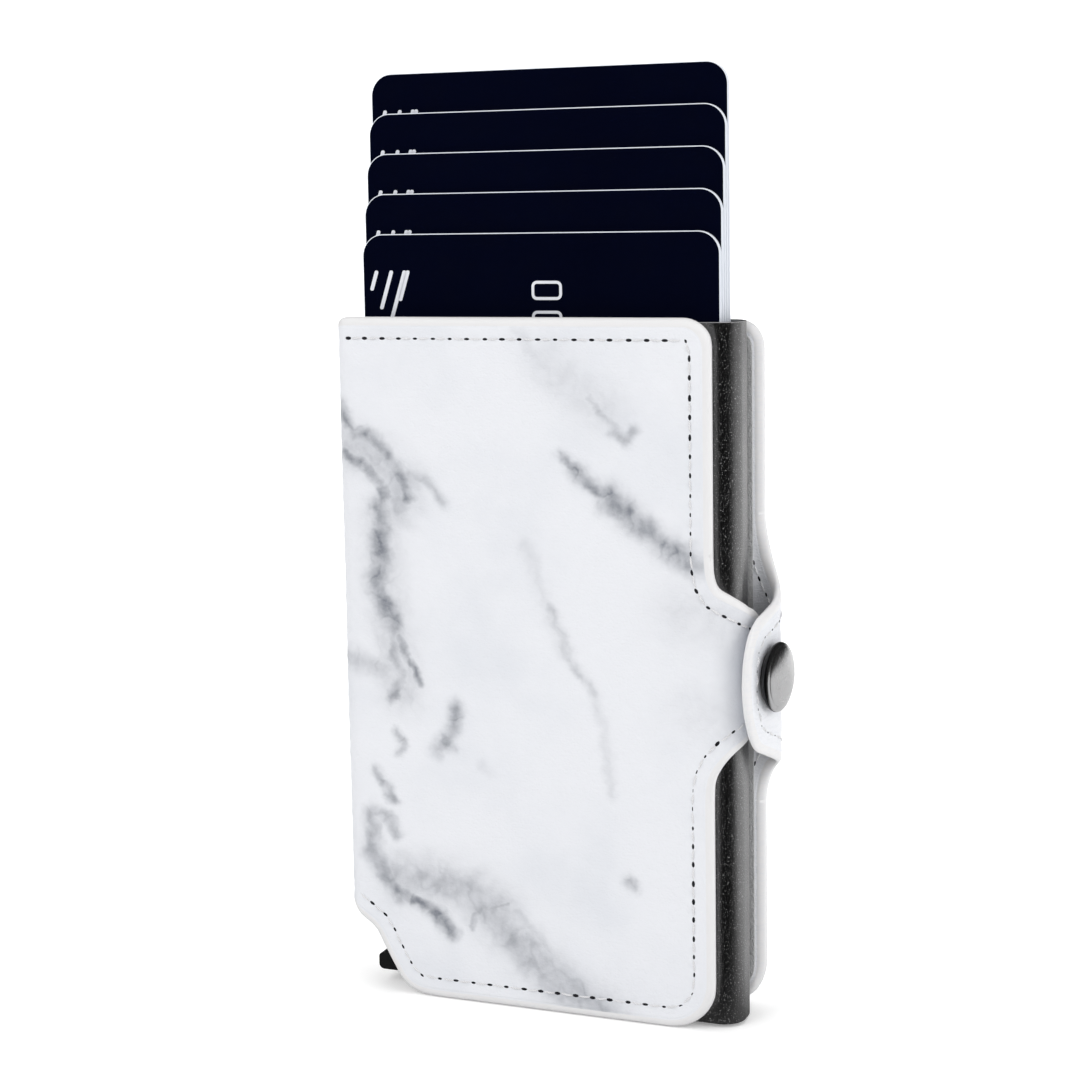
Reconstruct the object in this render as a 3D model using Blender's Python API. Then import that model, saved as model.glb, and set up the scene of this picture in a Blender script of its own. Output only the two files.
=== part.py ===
"""Minimalist pop-up card wallet: an aluminium card case in a folding leather cover.

Frame: +X to the snap side, -Y to the front cover, +Z up. The pieces are drawn
from the front cover's outer face at Y 0 and the case's middle at X 0, and the
whole wallet is then moved so that the origin lies under the middle of its box.
The wallet stands on the lower edges of its two covers, its lever is pressed and
its five cards are fanned out of the top.
"""

import math

import bmesh
import bpy
from mathutils import Matrix, Vector

MM = 0.001

# Cards: the ID-1 bank card format, stacked in Y with a sliding gap between faces.
CARD_WIDTH = 53.98 * MM
CARD_HEIGHT = 85.60 * MM
CARD_THICKNESS = 0.76 * MM
CARD_CORNER = 3.18 * MM
CARD_COUNT = 5
CARD_GAP = 0.3 * MM
CARD_FAN_TOP = 135.2 * MM
CARD_FAN_STEP = 5.75 * MM

# General running and assembly gap between two pieces.
GAP = 0.3 * MM

# Card case: an extruded flat tube with rounded narrow sides.
CASE_HALF_WIDTH = 29.0 * MM
CASE_FRONT = 2.5 * MM
CASE_DEPTH = 8.0 * MM
CASE_BOTTOM = 0.5 * MM
CASE_TOP = 99.8 * MM
CASE_WALL = 1.2 * MM
CASE_SIDE_WALL = 1.1 * MM
CASE_OUTER_RADIUS = 3.2 * MM
CASE_INNER_RADIUS = 0.5 * MM

# The lower left corner is cut away so that the lever can be reached.
CASE_CUT_HEIGHT = 15.8 * MM
CASE_CUT_FOOT_X = -20.5 * MM

# Ejecting lever, its pin, and the travel of the thumb.
PIVOT_X = -22.1 * MM
PIVOT_Z = 10.5 * MM
PIN_RADIUS = 1.3 * MM
HUB_RADIUS = 2.7 * MM
LEVER_TRAVEL = math.radians(60)
LEVER_TIP_DROP = 5.9 * MM
LEVER_TIP_REACH = 46.3 * MM
LEVER_TIP_THICKNESS = 1.2 * MM
LEVER_FOOT_LEFT = -5.9 * MM
LEVER_FOOT_TOP = -6.1 * MM
LEVER_FOOT_BOTTOM = -8.6 * MM
# The thumb piece as it stands when pressed, from the pivot: X, Z and corner radius in millimetres.
LEVER_FOOT = (
    (1.6 * MM, -0.8 * MM, 0),
    (-1.6 * MM, 0.6 * MM, 0),
    (-3.9 * MM, LEVER_FOOT_TOP, 1.2 * MM),
    (LEVER_FOOT_LEFT, LEVER_FOOT_TOP, 0.6 * MM),
    (LEVER_FOOT_LEFT, LEVER_FOOT_BOTTOM, 0.8 * MM),
    (-2.4 * MM, LEVER_FOOT_BOTTOM, 1.2 * MM),
)
LEVER_SIDE_GAP = 0.05 * MM

# Leather cover: outer skins, linings and their places in Y.
SKIN = 1.1 * MM
LINING = 0.7 * MM
COVER_TOP = 100.5 * MM
BACK_TOP = 99.7 * MM
COVER_LEFT = -29.2 * MM
FRONT_RIGHT = 26.2 * MM
BACK_RIGHT = 30.3 * MM
BACK_SKIN = 1.3 * MM
BACK_FACE = 14.1 * MM
LINING_INSET = 0.7 * MM
TOP_CORNER = 4.2 * MM
BOTTOM_CORNER = 7.0 * MM
SPINE_OUTER = -30.9 * MM
SPINE_THICKNESS = 1.6 * MM
SPINE_FOOT = 13.6 * MM
POCKET_THICKNESS = 0.6 * MM
POCKET_TOP = 62.0 * MM
# The S of the covers' cut-away lower left corner: X, Z and corner radius, going down.
COVER_FOOT_HEIGHT = 11.3 * MM
COVER_FOOT_CURVE = (
    (-26.9 * MM, 9.8 * MM, 2.0 * MM),
    (-22.4 * MM, 1.2 * MM, 3.2 * MM),
    (-16.7 * MM, 0.0, 3.0 * MM),
)
SPINE_CORNER = 0.6 * MM
SPINE_INNER_CORNER = 0.3 * MM
SPINE_FRONT_GAP = 0.4 * MM
SPINE_BACK_GAP = 1.6 * MM
# Back pocket: X, Z and corner radius.
POCKET_OUTLINE = (
    (-18.0 * MM, 3.0 * MM, 1.0 * MM),
    (24.0 * MM, 3.0 * MM, 5.0 * MM),
    (24.0 * MM, POCKET_TOP, 1.0 * MM),
    (-26.0 * MM, POCKET_TOP, 1.0 * MM),
    (-26.0 * MM, 15.0 * MM, 1.0 * MM),
)
# Where the four leather folds turn, X and Y.
FRONT_FOLD = (-30.3 * MM, 0.6 * MM)
BACK_FOLD = (-30.3 * MM, 13.5 * MM)
TAB_FOLD = (26.35 * MM, 0.0)
STRAP_FOLD = (30.9 * MM, 13.9 * MM)

# Closing tab and strap, which lap over each other on the right side.
CLOSURE_Z = 50.5 * MM
CLOSURE_LEAN = math.radians(8)
TAB_BEND_X = 25.8 * MM
TAB_BEND_Y = 5.7 * MM
TAB_BEND_RADIUS = 3.5 * MM
TAB_ROOT_THICKNESS = 2.0 * MM
TAB_THICKNESS = 1.1 * MM
TAB_START_X = 26.5 * MM
TAB_RUN = 5.2 * MM
TAB_HALF_HEIGHT = 9.4 * MM
TAB_FLARE = 5.8 * MM
FLARE_POWER = 2.2
STRAP_THICKNESS = 1.2 * MM
STRAP_BEND_RADIUS = 4.8 * MM
STRAP_BEND_START = math.radians(37)
STRAP_END_Y = -1.8 * MM
STRAP_HALF_HEIGHT = 10.0 * MM
STRAP_FLARE = 6.0 * MM
STRAP_TAPER = 0.4 * MM
STRAP_END_ROUNDING = 6.5 * MM
STRAP_CURL = 2.0 * MM
STRAP_CURL_LENGTH = 8 * MM
TAB_END_ROUNDING = 4 * MM
TAB_TAPER = 0.2

# Snap fastener.
SNAP_GAP = 0.25 * MM
SNAP_ALONG = 1.2 * MM
STUD_RADIUS = 4.0 * MM
STUD_THICKNESS = 0.6 * MM
KNOB_RADIUS = 1.1 * MM
KNOB_HEIGHT = 0.5 * MM
RIVET_RADIUS = 1.2 * MM
RIVET_HOLE_RADIUS = 1.5 * MM
SOCKET_RADIUS = 3.1 * MM
SOCKET_BORE_RADIUS = 2.4 * MM
SOCKET_THICKNESS = 0.7 * MM
SOCKET_HOLE_RADIUS = 3.4 * MM
CAP_RADIUS = 4.9 * MM
CAP_HEIGHT = 2.4 * MM
CAP_RIM = 0.8 * MM

# Grip strip that keeps the cards from sliding out.
GRIP_THICKNESS = 0.9 * MM
GRIP_BOTTOM = 20.0 * MM
GRIP_TOP = 95.0 * MM

# Derived places.
case_middle_y = CASE_FRONT + CASE_DEPTH / 2
case_left_inside = -CASE_HALF_WIDTH + CASE_SIDE_WALL
case_right_inside = CASE_HALF_WIDTH - CASE_SIDE_WALL
card_left = case_left_inside + GAP
card_pitch = CARD_THICKNESS + CARD_GAP
stack_depth = CARD_COUNT * card_pitch - CARD_GAP
stack_back = case_middle_y + stack_depth / 2
card_rest_bottom = CASE_TOP - 0.2 * MM - CARD_HEIGHT
cam_height = card_rest_bottom - GAP - PIVOT_Z
lean_normal = Vector((math.cos(CLOSURE_LEAN), -math.sin(CLOSURE_LEAN), 0))
lean_along = Vector((math.sin(CLOSURE_LEAN), math.cos(CLOSURE_LEAN), 0))


def clear_scene():
    for old in list(bpy.data.objects):
        bpy.data.objects.remove(old, do_unlink=True)


def finish(name, colour, roughness, metallic):
    """A plain Principled material."""
    made = bpy.data.materials.new(name)
    made.use_nodes = True
    shader = made.node_tree.nodes["Principled BSDF"]
    shader.inputs["Base Color"].default_value = (*colour, 1)
    shader.inputs["Roughness"].default_value = roughness
    shader.inputs["Metallic"].default_value = metallic
    return made


def place(name, form, look, origin=(0, 0, 0), turn=(0, 0, 0), parent=None):
    """Turns a bmesh into a named object at origin, turned by the Euler angles."""
    bmesh.ops.recalc_face_normals(form, faces=form.faces)
    mesh = bpy.data.meshes.new(name)
    form.to_mesh(mesh)
    form.free()
    mesh.materials.append(look)
    made = bpy.data.objects.new(name, mesh)
    made.location = origin
    made.rotation_euler = turn
    made.parent = parent
    bpy.context.scene.collection.objects.link(made)
    return made


def axis_empty(name, x, y, z=0.0):
    """An empty on a fold's axis, which its pieces hang from."""
    made = bpy.data.objects.new(name, None)
    made.location = (x, y, z)
    made.empty_display_size = 5 * MM
    bpy.context.scene.collection.objects.link(made)
    return made


def rounded_outline(corners, steps=6):
    """Points of a polygon given as (u, v, radius), with its corners rounded."""
    points = []
    for i, (u, v, radius) in enumerate(corners):
        here = Vector((u, v))
        if radius == 0:
            points.append(here)
            continue
        to_last = (Vector(corners[i - 1][:2]) - here).normalized()
        to_next = (Vector(corners[(i + 1) % len(corners)][:2]) - here).normalized()
        half = to_last.angle(to_next) / 2
        centre = here + (to_last + to_next).normalized() * radius / math.sin(half)
        first = here + to_last * radius / math.tan(half) - centre
        sweep = math.pi - 2 * half
        if to_last.cross(to_next) > 0:
            sweep = -sweep
        for step in range(steps + 1):
            points.append(centre + Matrix.Rotation(sweep * step / steps, 2) @ first)
    return points


def prism(outline, low, high, along="Y"):
    """The outline extruded along Y (points are x, z) or along Z (points are x, y)."""
    form = bmesh.new()
    if along == "Y":
        ring = [form.verts.new((u, low, v)) for u, v in outline]
        move = Vector((0, high - low, 0))
    else:
        ring = [form.verts.new((u, v, low)) for u, v in outline]
        move = Vector((0, 0, high - low))
    face = form.faces.new(ring)
    grown = bmesh.ops.extrude_face_region(form, geom=[face])
    moved = [item for item in grown["geom"] if isinstance(item, bmesh.types.BMVert)]
    bmesh.ops.translate(form, vec=move, verts=moved)
    return form


def turned(profile, segments=40):
    """A profile of (radius, height) points turned about local Z, closed on the axis."""
    form = bmesh.new()
    rings = []
    for radius, height in profile:
        if radius == 0:
            rings.append([form.verts.new((0, 0, height))])
            continue
        angles = [2 * math.pi * i / segments for i in range(segments)]
        rings.append(
            [form.verts.new((radius * math.cos(a), radius * math.sin(a), height)) for a in angles]
        )
    closed = profile[0][0] > 0 and profile[-1][0] > 0
    pairs = list(zip(rings, rings[1:])) + ([(rings[-1], rings[0])] if closed else [])
    for a, b in pairs:
        for i in range(segments):
            j = (i + 1) % segments
            corners = [a[i % len(a)], a[j % len(a)], b[j % len(b)], b[i % len(b)]]
            form.faces.new(list(dict.fromkeys(corners)))
    return form


def cut(target, form, name, operation="DIFFERENCE", origin=(0, 0, 0), turn=(0, 0, 0)):
    """A Boolean with a hidden helper made from a bmesh."""
    helper = place(name, form, target.data.materials[0], origin, turn)
    helper.parent = target.parent
    if target.parent:
        helper.matrix_parent_inverse = Matrix.Translation(-target.parent.location)
    helper.hide_render = True
    helper.display_type = "WIRE"
    step = target.modifiers.new(name, "BOOLEAN")
    step.operation = operation
    step.solver = "EXACT"
    step.object = helper


def hang(made, parent):
    """Parents an object made in world places to an empty, and keeps it where it is."""
    made.parent = parent
    made.location = made.location - parent.location
    return made


def smooth(made, angle=35):
    made.data.shade_smooth()
    made.data.set_sharp_from_angle(angle=math.radians(angle))


def case_outline(half_width, half_depth, radius, steps):
    corners = [
        (-half_width, case_middle_y - half_depth, radius),
        (half_width, case_middle_y - half_depth, radius),
        (half_width, case_middle_y + half_depth, radius),
        (-half_width, case_middle_y + half_depth, radius),
    ]
    return rounded_outline(corners, steps)


def build_case(look):
    outside = case_outline(CASE_HALF_WIDTH, CASE_DEPTH / 2, CASE_OUTER_RADIUS, 10)
    inside = case_outline(case_right_inside, CASE_DEPTH / 2 - CASE_WALL, CASE_INNER_RADIUS, 3)
    case = place("card_case", prism(outside, CASE_BOTTOM, CASE_TOP, "Z"), look)
    beyond = 5 * MM
    cut(case, prism(inside, CASE_BOTTOM - beyond, CASE_TOP + beyond, "Z"), "card_channel_cutter")
    slope = (CASE_CUT_FOOT_X + CASE_HALF_WIDTH) / (CASE_CUT_HEIGHT - CASE_BOTTOM)
    corner = [
        (-CASE_HALF_WIDTH - beyond, CASE_CUT_HEIGHT + beyond / slope),
        (CASE_CUT_FOOT_X + beyond * slope, CASE_BOTTOM - beyond),
        (-CASE_HALF_WIDTH - beyond, CASE_BOTTOM - beyond),
    ]
    cut(case, prism(corner, CASE_FRONT - beyond, CASE_FRONT + CASE_DEPTH + beyond), "corner_cutter")
    hole = turned(
        [(0, -CASE_DEPTH), (PIN_RADIUS + GAP, -CASE_DEPTH), (PIN_RADIUS + GAP, CASE_DEPTH), (0, CASE_DEPTH)],
        24,
    )
    cut(
        case,
        hole,
        "pin_hole_cutter",
        origin=(PIVOT_X, case_middle_y, PIVOT_Z),
        turn=(math.radians(90), 0, 0),
    )
    smooth(case)


def build_plug(look):
    depth = CASE_DEPTH / 2 - CASE_WALL - GAP
    left = CASE_CUT_FOOT_X + 1.2 * MM
    right = case_right_inside - GAP
    floor_top = CASE_BOTTOM + 1.6 * MM
    lip_top = CASE_BOTTOM + 3.4 * MM
    lip = 1.2 * MM
    outline = [
        (left, CASE_BOTTOM),
        (right, CASE_BOTTOM),
        (right, lip_top),
        (right - lip, lip_top),
        (right - lip, floor_top),
        (left, floor_top),
    ]
    place("end_plug", prism(outline, case_middle_y - depth, case_middle_y + depth), look)


def cam_point(reach, turn):
    """A point of the cam that lifts a card evenly: reach is its lift per radian."""
    height = cam_height + reach * turn
    return Vector(
        (
            reach * math.cos(turn) + height * math.sin(turn),
            height * math.cos(turn) - reach * math.sin(turn),
        )
    )


def underside(x):
    return -HUB_RADIUS - (LEVER_TIP_DROP - HUB_RADIUS) * x / LEVER_TIP_REACH


def arm_outline(reach, steps=16):
    """One card's step of the lever with the pin at 0, 0, as it lies before it is pressed."""
    points = []
    for step in range(9):
        angle = math.radians(-90 - 180 * step / 8)
        points.append(Vector((HUB_RADIUS * math.cos(angle), HUB_RADIUS * math.sin(angle))))
    points.append(Vector((0, cam_height)))
    for step in range(steps + 1):
        point = cam_point(reach, LEVER_TRAVEL * step / steps)
        if point.y < underside(point.x) + LEVER_TIP_THICKNESS:
            break
        points.append(point)
    tip = points[-1]
    points.append(Vector((tip.x - 0.4 * MM, underside(tip.x))))
    return points


def build_lever(look, lifts):
    origin = (PIVOT_X, 0, PIVOT_Z)
    turn = (0, -LEVER_TRAVEL, 0)
    front = stack_back - stack_depth
    longest = prism(arm_outline(lifts[0] / LEVER_TRAVEL), stack_back - CARD_THICKNESS, stack_back)
    lever = place("eject_lever", longest, look, origin, turn)
    for i in range(1, CARD_COUNT):
        low = stack_back - i * card_pitch - CARD_THICKNESS
        high = stack_back - (i - 1) * card_pitch - CARD_THICKNESS + 0.1 * MM
        step = prism(arm_outline(lifts[i] / LEVER_TRAVEL), low, high)
        cut(lever, step, f"lever_step_{i + 1}", "UNION", origin, turn)
    foot = rounded_outline(LEVER_FOOT)
    raised = Matrix.Rotation(-LEVER_TRAVEL, 2)
    outline = [raised @ point for point in foot]
    finger = prism(outline, front + LEVER_SIDE_GAP, stack_back - LEVER_SIDE_GAP)
    cut(lever, finger, "lever_finger", "UNION", origin, turn)
    bore = turned(
        [(0, -CASE_DEPTH), (PIN_RADIUS + GAP, -CASE_DEPTH), (PIN_RADIUS + GAP, CASE_DEPTH), (0, CASE_DEPTH)],
        24,
    )
    cut(
        lever,
        bore,
        "lever_bore",
        origin=(PIVOT_X, case_middle_y, PIVOT_Z),
        turn=(math.radians(90), 0, 0),
    )


def build_pin(look):
    half = CASE_DEPTH / 2
    pin = turned([(0, -half), (PIN_RADIUS, -half), (PIN_RADIUS, half), (0, half)], 24)
    made = place(
        "pivot_pin", pin, look, (PIVOT_X, case_middle_y, PIVOT_Z), (math.radians(90), 0, 0)
    )
    smooth(made)


def build_grip(look):
    left = card_left + CARD_WIDTH + GAP
    half = CASE_DEPTH / 2 - CASE_WALL - GAP
    outline = [
        (left, GRIP_BOTTOM),
        (left + GRIP_THICKNESS, GRIP_BOTTOM),
        (left + GRIP_THICKNESS, GRIP_TOP),
        (left + 0.5 * MM, GRIP_TOP),
    ]
    place("grip_strip", prism(outline, case_middle_y - half, case_middle_y + half), look)


def build_cards(look, lifts):
    corners = [
        (0, 0, CARD_CORNER),
        (CARD_WIDTH, 0, CARD_CORNER),
        (CARD_WIDTH, CARD_HEIGHT, CARD_CORNER),
        (0, CARD_HEIGHT, CARD_CORNER),
    ]
    outline = rounded_outline(corners, 8)
    for i, lift in enumerate(lifts):
        back = stack_back - i * card_pitch
        place(
            f"card_{i + 1}",
            prism(outline, -CARD_THICKNESS, 0),
            look,
            (card_left, back, card_rest_bottom + lift),
        )


def cover_outline(right, top, inset=0.0):
    """A cover's outline, with the lower left corner cut away in a soft S."""
    left = COVER_LEFT + inset
    corners = [(left, COVER_FOOT_HEIGHT + inset, 0)]
    corners += [(x + inset, z + inset, radius) for x, z, radius in COVER_FOOT_CURVE]
    corners += [
        (right - inset, inset, BOTTOM_CORNER - inset),
        (right - inset, top - inset, TOP_CORNER - inset),
        (left, top - inset, SPINE_CORNER),
    ]
    return rounded_outline(corners, 5)


def build_covers(looks, front_axis, back_axis):
    outer = prism(cover_outline(FRONT_RIGHT, COVER_TOP), 0, SKIN)
    hang(place("front_panel", outer, looks["leather"]), front_axis)
    low = SKIN + GAP
    inner = prism(cover_outline(FRONT_RIGHT, COVER_TOP, LINING_INSET), low, low + LINING)
    hang(place("front_lining", inner, looks["lining"]), front_axis)

    skin_front = BACK_FACE - BACK_SKIN
    outer = prism(cover_outline(BACK_RIGHT, BACK_TOP), skin_front, BACK_FACE)
    hang(place("back_panel", outer, looks["leather"]), back_axis)
    high = skin_front - GAP
    inner = prism(cover_outline(BACK_RIGHT, BACK_TOP, LINING_INSET), high - LINING, high)
    hang(place("back_lining", inner, looks["lining"]), back_axis)
    high = high - LINING - GAP
    pocket = rounded_outline(POCKET_OUTLINE, 4)
    hang(place("back_pocket", prism(pocket, high - POCKET_THICKNESS, high), looks["lining"]), back_axis)

    foot = CASE_FRONT + SPINE_FRONT_GAP
    head = BACK_FACE - BACK_SKIN - SPINE_BACK_GAP
    outline = rounded_outline(
        [
            (SPINE_OUTER, foot, SPINE_CORNER),
            (SPINE_OUTER + SPINE_THICKNESS, foot, SPINE_INNER_CORNER),
            (SPINE_OUTER + SPINE_THICKNESS, head, SPINE_INNER_CORNER),
            (SPINE_OUTER, head, SPINE_CORNER),
        ],
        3,
    )
    place("spine", prism(outline, SPINE_FOOT, BACK_TOP, "Z"), looks["leather"])


def bent_strip(stations):
    """A closed strip standing on edge: each station is (outer, inner, half height)."""
    form = bmesh.new()
    rings = []
    for outer, inner, half in stations:
        rings.append(
            [
                form.verts.new((outer.x, outer.y, CLOSURE_Z - half)),
                form.verts.new((outer.x, outer.y, CLOSURE_Z + half)),
                form.verts.new((inner.x, inner.y, CLOSURE_Z + half)),
                form.verts.new((inner.x, inner.y, CLOSURE_Z - half)),
            ]
        )
    for a, b in zip(rings, rings[1:]):
        for i in range(4):
            j = (i + 1) % 4
            form.faces.new((a[i], a[j], b[j], b[i]))
    form.faces.new(rings[0])
    form.faces.new(rings[-1])
    return form


def round_end(distance, length, half):
    """Half height of a strip's rounded end, distance before its tip."""
    if distance >= length:
        return half
    return half * math.sqrt(max(0.04, 1 - (1 - distance / length) ** 2))


def tab_stations():
    """From the front cover's edge, round the case's corner and back along its side."""
    centre = Vector((TAB_BEND_X, TAB_BEND_Y, 0))
    stations = []
    first = math.radians(78)
    steps = 9
    for step in range(steps + 1):
        share = step / steps
        angle = first + (CLOSURE_LEAN - first) * share
        aim = Vector((math.cos(angle), -math.sin(angle), 0))
        thick = TAB_ROOT_THICKNESS + (TAB_THICKNESS - TAB_ROOT_THICKNESS) * share
        outer = centre + aim * (TAB_BEND_RADIUS + thick)
        inner = centre + aim * TAB_BEND_RADIUS
        inner.x = max(inner.x, TAB_START_X)
        half = TAB_HALF_HEIGHT + TAB_FLARE * (1 - share) ** FLARE_POWER
        stations.append((outer, inner, half))
    steps = 7
    for step in range(1, steps + 1):
        run = TAB_RUN * math.sin(math.pi / 2 * step / steps)
        inner = centre + lean_normal * TAB_BEND_RADIUS + lean_along * run
        outer = inner + lean_normal * TAB_THICKNESS
        half = round_end(TAB_RUN - run, TAB_END_ROUNDING, TAB_HALF_HEIGHT - run * TAB_TAPER)
        stations.append((outer, inner, half))
    return stations


tab_face = Vector((TAB_BEND_X, TAB_BEND_Y, 0)) + lean_normal * (TAB_BEND_RADIUS + TAB_THICKNESS)
stud_face = tab_face + lean_normal * SNAP_GAP
strap_inner = stud_face + lean_normal * (STUD_THICKNESS + SNAP_GAP)
strap_face = strap_inner + lean_normal * STRAP_THICKNESS


def strap_centre():
    """Middle of the bend that brings the strap from the back plane on to the side."""
    y = BACK_FACE - STRAP_BEND_RADIUS
    on_line = strap_face + lean_along * (
        (y - STRAP_BEND_RADIUS * math.sin(CLOSURE_LEAN) - strap_face.y) / lean_along.y
    )
    return Vector((on_line.x - STRAP_BEND_RADIUS * math.cos(CLOSURE_LEAN), y, 0))


def strap_stations():
    centre = strap_centre()
    stations = []
    first = math.pi / 2 - STRAP_BEND_START
    steps = 8
    for step in range(steps + 1):
        share = step / steps
        angle = first - (first + CLOSURE_LEAN) * share
        aim = Vector((math.cos(angle), math.sin(angle), 0))
        outer = centre + aim * STRAP_BEND_RADIUS
        inner = centre + aim * (STRAP_BEND_RADIUS - STRAP_THICKNESS)
        stations.append((outer, inner, STRAP_HALF_HEIGHT + STRAP_FLARE * (1 - share) ** 1.6))
    start = stations[-1][0]
    run_length = (start.y - STRAP_END_Y) / math.cos(CLOSURE_LEAN)
    steps = 12
    curl_start = run_length - STRAP_CURL
    for step in range(1, steps + 1):
        run = run_length * math.sin(math.pi / 2 * step / steps)
        past = max(0.0, run - curl_start)
        outer = start - lean_along * run - lean_normal * (past * past / STRAP_CURL_LENGTH)
        inner = outer - lean_normal * STRAP_THICKNESS
        straight = STRAP_HALF_HEIGHT - STRAP_TAPER * run / run_length
        half = round_end(run_length - run, STRAP_END_ROUNDING, straight)
        stations.append((outer, inner, half))
    return stations


def build_closure(looks, tab_axis, strap_axis):
    """Tab and strap, and the snap fastener that joins them."""
    lean_turn = (0, math.radians(90), -CLOSURE_LEAN)
    height = Vector((0, 0, CLOSURE_Z)) + lean_along * SNAP_ALONG
    beyond = 4 * MM

    tab = hang(place("front_tab", bent_strip(tab_stations()), looks["leather"]), tab_axis)
    hole = turned(
        [(0, -beyond), (RIVET_HOLE_RADIUS, -beyond), (RIVET_HOLE_RADIUS, SNAP_GAP / 2), (0, SNAP_GAP / 2)],
        24,
    )
    cut(tab, hole, "rivet_hole_cutter", origin=tab_face + height, turn=lean_turn)

    top = STUD_THICKNESS
    edge = 0.15 * MM
    stud = turned(
        [
            (0, 0),
            (STUD_RADIUS - edge, 0),
            (STUD_RADIUS, edge),
            (STUD_RADIUS, top - edge),
            (STUD_RADIUS - edge, top),
            (KNOB_RADIUS, top),
            (KNOB_RADIUS, top + KNOB_HEIGHT - edge),
            (KNOB_RADIUS - edge, top + KNOB_HEIGHT),
            (0, top + KNOB_HEIGHT),
        ]
    )
    made = place("snap_stud", stud, looks["gunmetal"], stud_face + height, lean_turn)
    smooth(hang(made, tab_axis))
    rivet = turned([(0, 0), (RIVET_RADIUS, 0), (RIVET_RADIUS, TAB_THICKNESS), (0, TAB_THICKNESS)], 24)
    low = tab_face - lean_normal * TAB_THICKNESS
    made = place("snap_rivet", rivet, looks["gunmetal"], low + height, lean_turn)
    smooth(hang(made, tab_axis))

    strap = hang(place("strap", bent_strip(strap_stations()), looks["leather"]), strap_axis)
    hole = turned(
        [(0, -beyond / 2), (SOCKET_HOLE_RADIUS, -beyond / 2), (SOCKET_HOLE_RADIUS, beyond), (0, beyond)],
        32,
    )
    cut(strap, hole, "socket_hole_cutter", origin=strap_inner + height, turn=lean_turn)
    ring = turned(
        [
            (SOCKET_BORE_RADIUS, 0),
            (SOCKET_RADIUS, 0),
            (SOCKET_RADIUS, SOCKET_THICKNESS),
            (SOCKET_BORE_RADIUS, SOCKET_THICKNESS),
        ]
    )
    made = place("snap_socket", ring, looks["gunmetal"], strap_inner + height, lean_turn)
    smooth(hang(made, strap_axis))

    steps = 8
    dome = [(0, 0), (CAP_RADIUS - CAP_RIM, 0), (CAP_RADIUS, CAP_RIM / 2), (CAP_RADIUS, CAP_RIM)]
    for step in range(1, steps + 1):
        angle = math.pi / 2 * step / steps
        radius = CAP_RADIUS * math.cos(angle) ** 0.8 if step < steps else 0
        dome.append((radius, CAP_RIM + (CAP_HEIGHT - CAP_RIM) * math.sin(angle)))
    seat = strap_face + lean_normal * SNAP_GAP
    made = place("snap_cap", turned(dome), looks["gunmetal"], seat + height, lean_turn)
    smooth(hang(made, strap_axis))


def centre_on_origin():
    """Moves everything in X and Y so that the middle of the whole box is over the origin."""
    bpy.context.view_layer.update()
    graph = bpy.context.evaluated_depsgraph_get()
    corners = []
    for made in bpy.data.objects:
        if made.type == "MESH" and not made.hide_render:
            shown = made.evaluated_get(graph)
            corners += [shown.matrix_world @ vertex.co for vertex in shown.data.vertices]
    middle = Vector((0, 0, 0))
    for i in range(2):
        places = [corner[i] for corner in corners]
        middle[i] = (min(places) + max(places)) / 2
    for made in bpy.data.objects:
        if made.parent is None:
            made.location -= middle


def build():
    clear_scene()
    looks = {
        "leather": finish("marble_leather", (0.84, 0.85, 0.88), 0.5, 0.0),
        "lining": finish("grey_lining", (0.62, 0.62, 0.62), 0.7, 0.0),
        "aluminium": finish("black_aluminium", (0.05, 0.05, 0.052), 0.4, 0.8),
        "plastic": finish("black_plastic", (0.02, 0.02, 0.02), 0.5, 0.0),
        "card": finish("card_plastic", (0.01, 0.012, 0.04), 0.35, 0.0),
        "gunmetal": finish("gunmetal", (0.18, 0.18, 0.19), 0.2, 1.0),
        "steel": finish("steel", (0.5, 0.5, 0.5), 0.3, 1.0),
        "felt": finish("grip_felt", (0.08, 0.08, 0.08), 0.9, 0.0),
    }
    fan_bottom = CARD_FAN_TOP - CARD_HEIGHT
    lifts = [fan_bottom - i * CARD_FAN_STEP - card_rest_bottom for i in range(CARD_COUNT)]
    build_case(looks["aluminium"])
    build_plug(looks["plastic"])
    build_pin(looks["steel"])
    build_grip(looks["felt"])
    build_cards(looks["card"], lifts)
    build_lever(looks["plastic"], lifts)
    front_axis = axis_empty("front_fold_axis", *FRONT_FOLD)
    back_axis = axis_empty("back_fold_axis", *BACK_FOLD)
    tab_axis = axis_empty("tab_fold_axis", *TAB_FOLD)
    strap_axis = axis_empty("strap_fold_axis", *STRAP_FOLD)
    build_covers(looks, front_axis, back_axis)
    build_closure(looks, tab_axis, strap_axis)
    centre_on_origin()


build()
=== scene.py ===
import math

import bmesh
import bpy
from mathutils import Matrix, Vector, geometry, kdtree, noise


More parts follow.
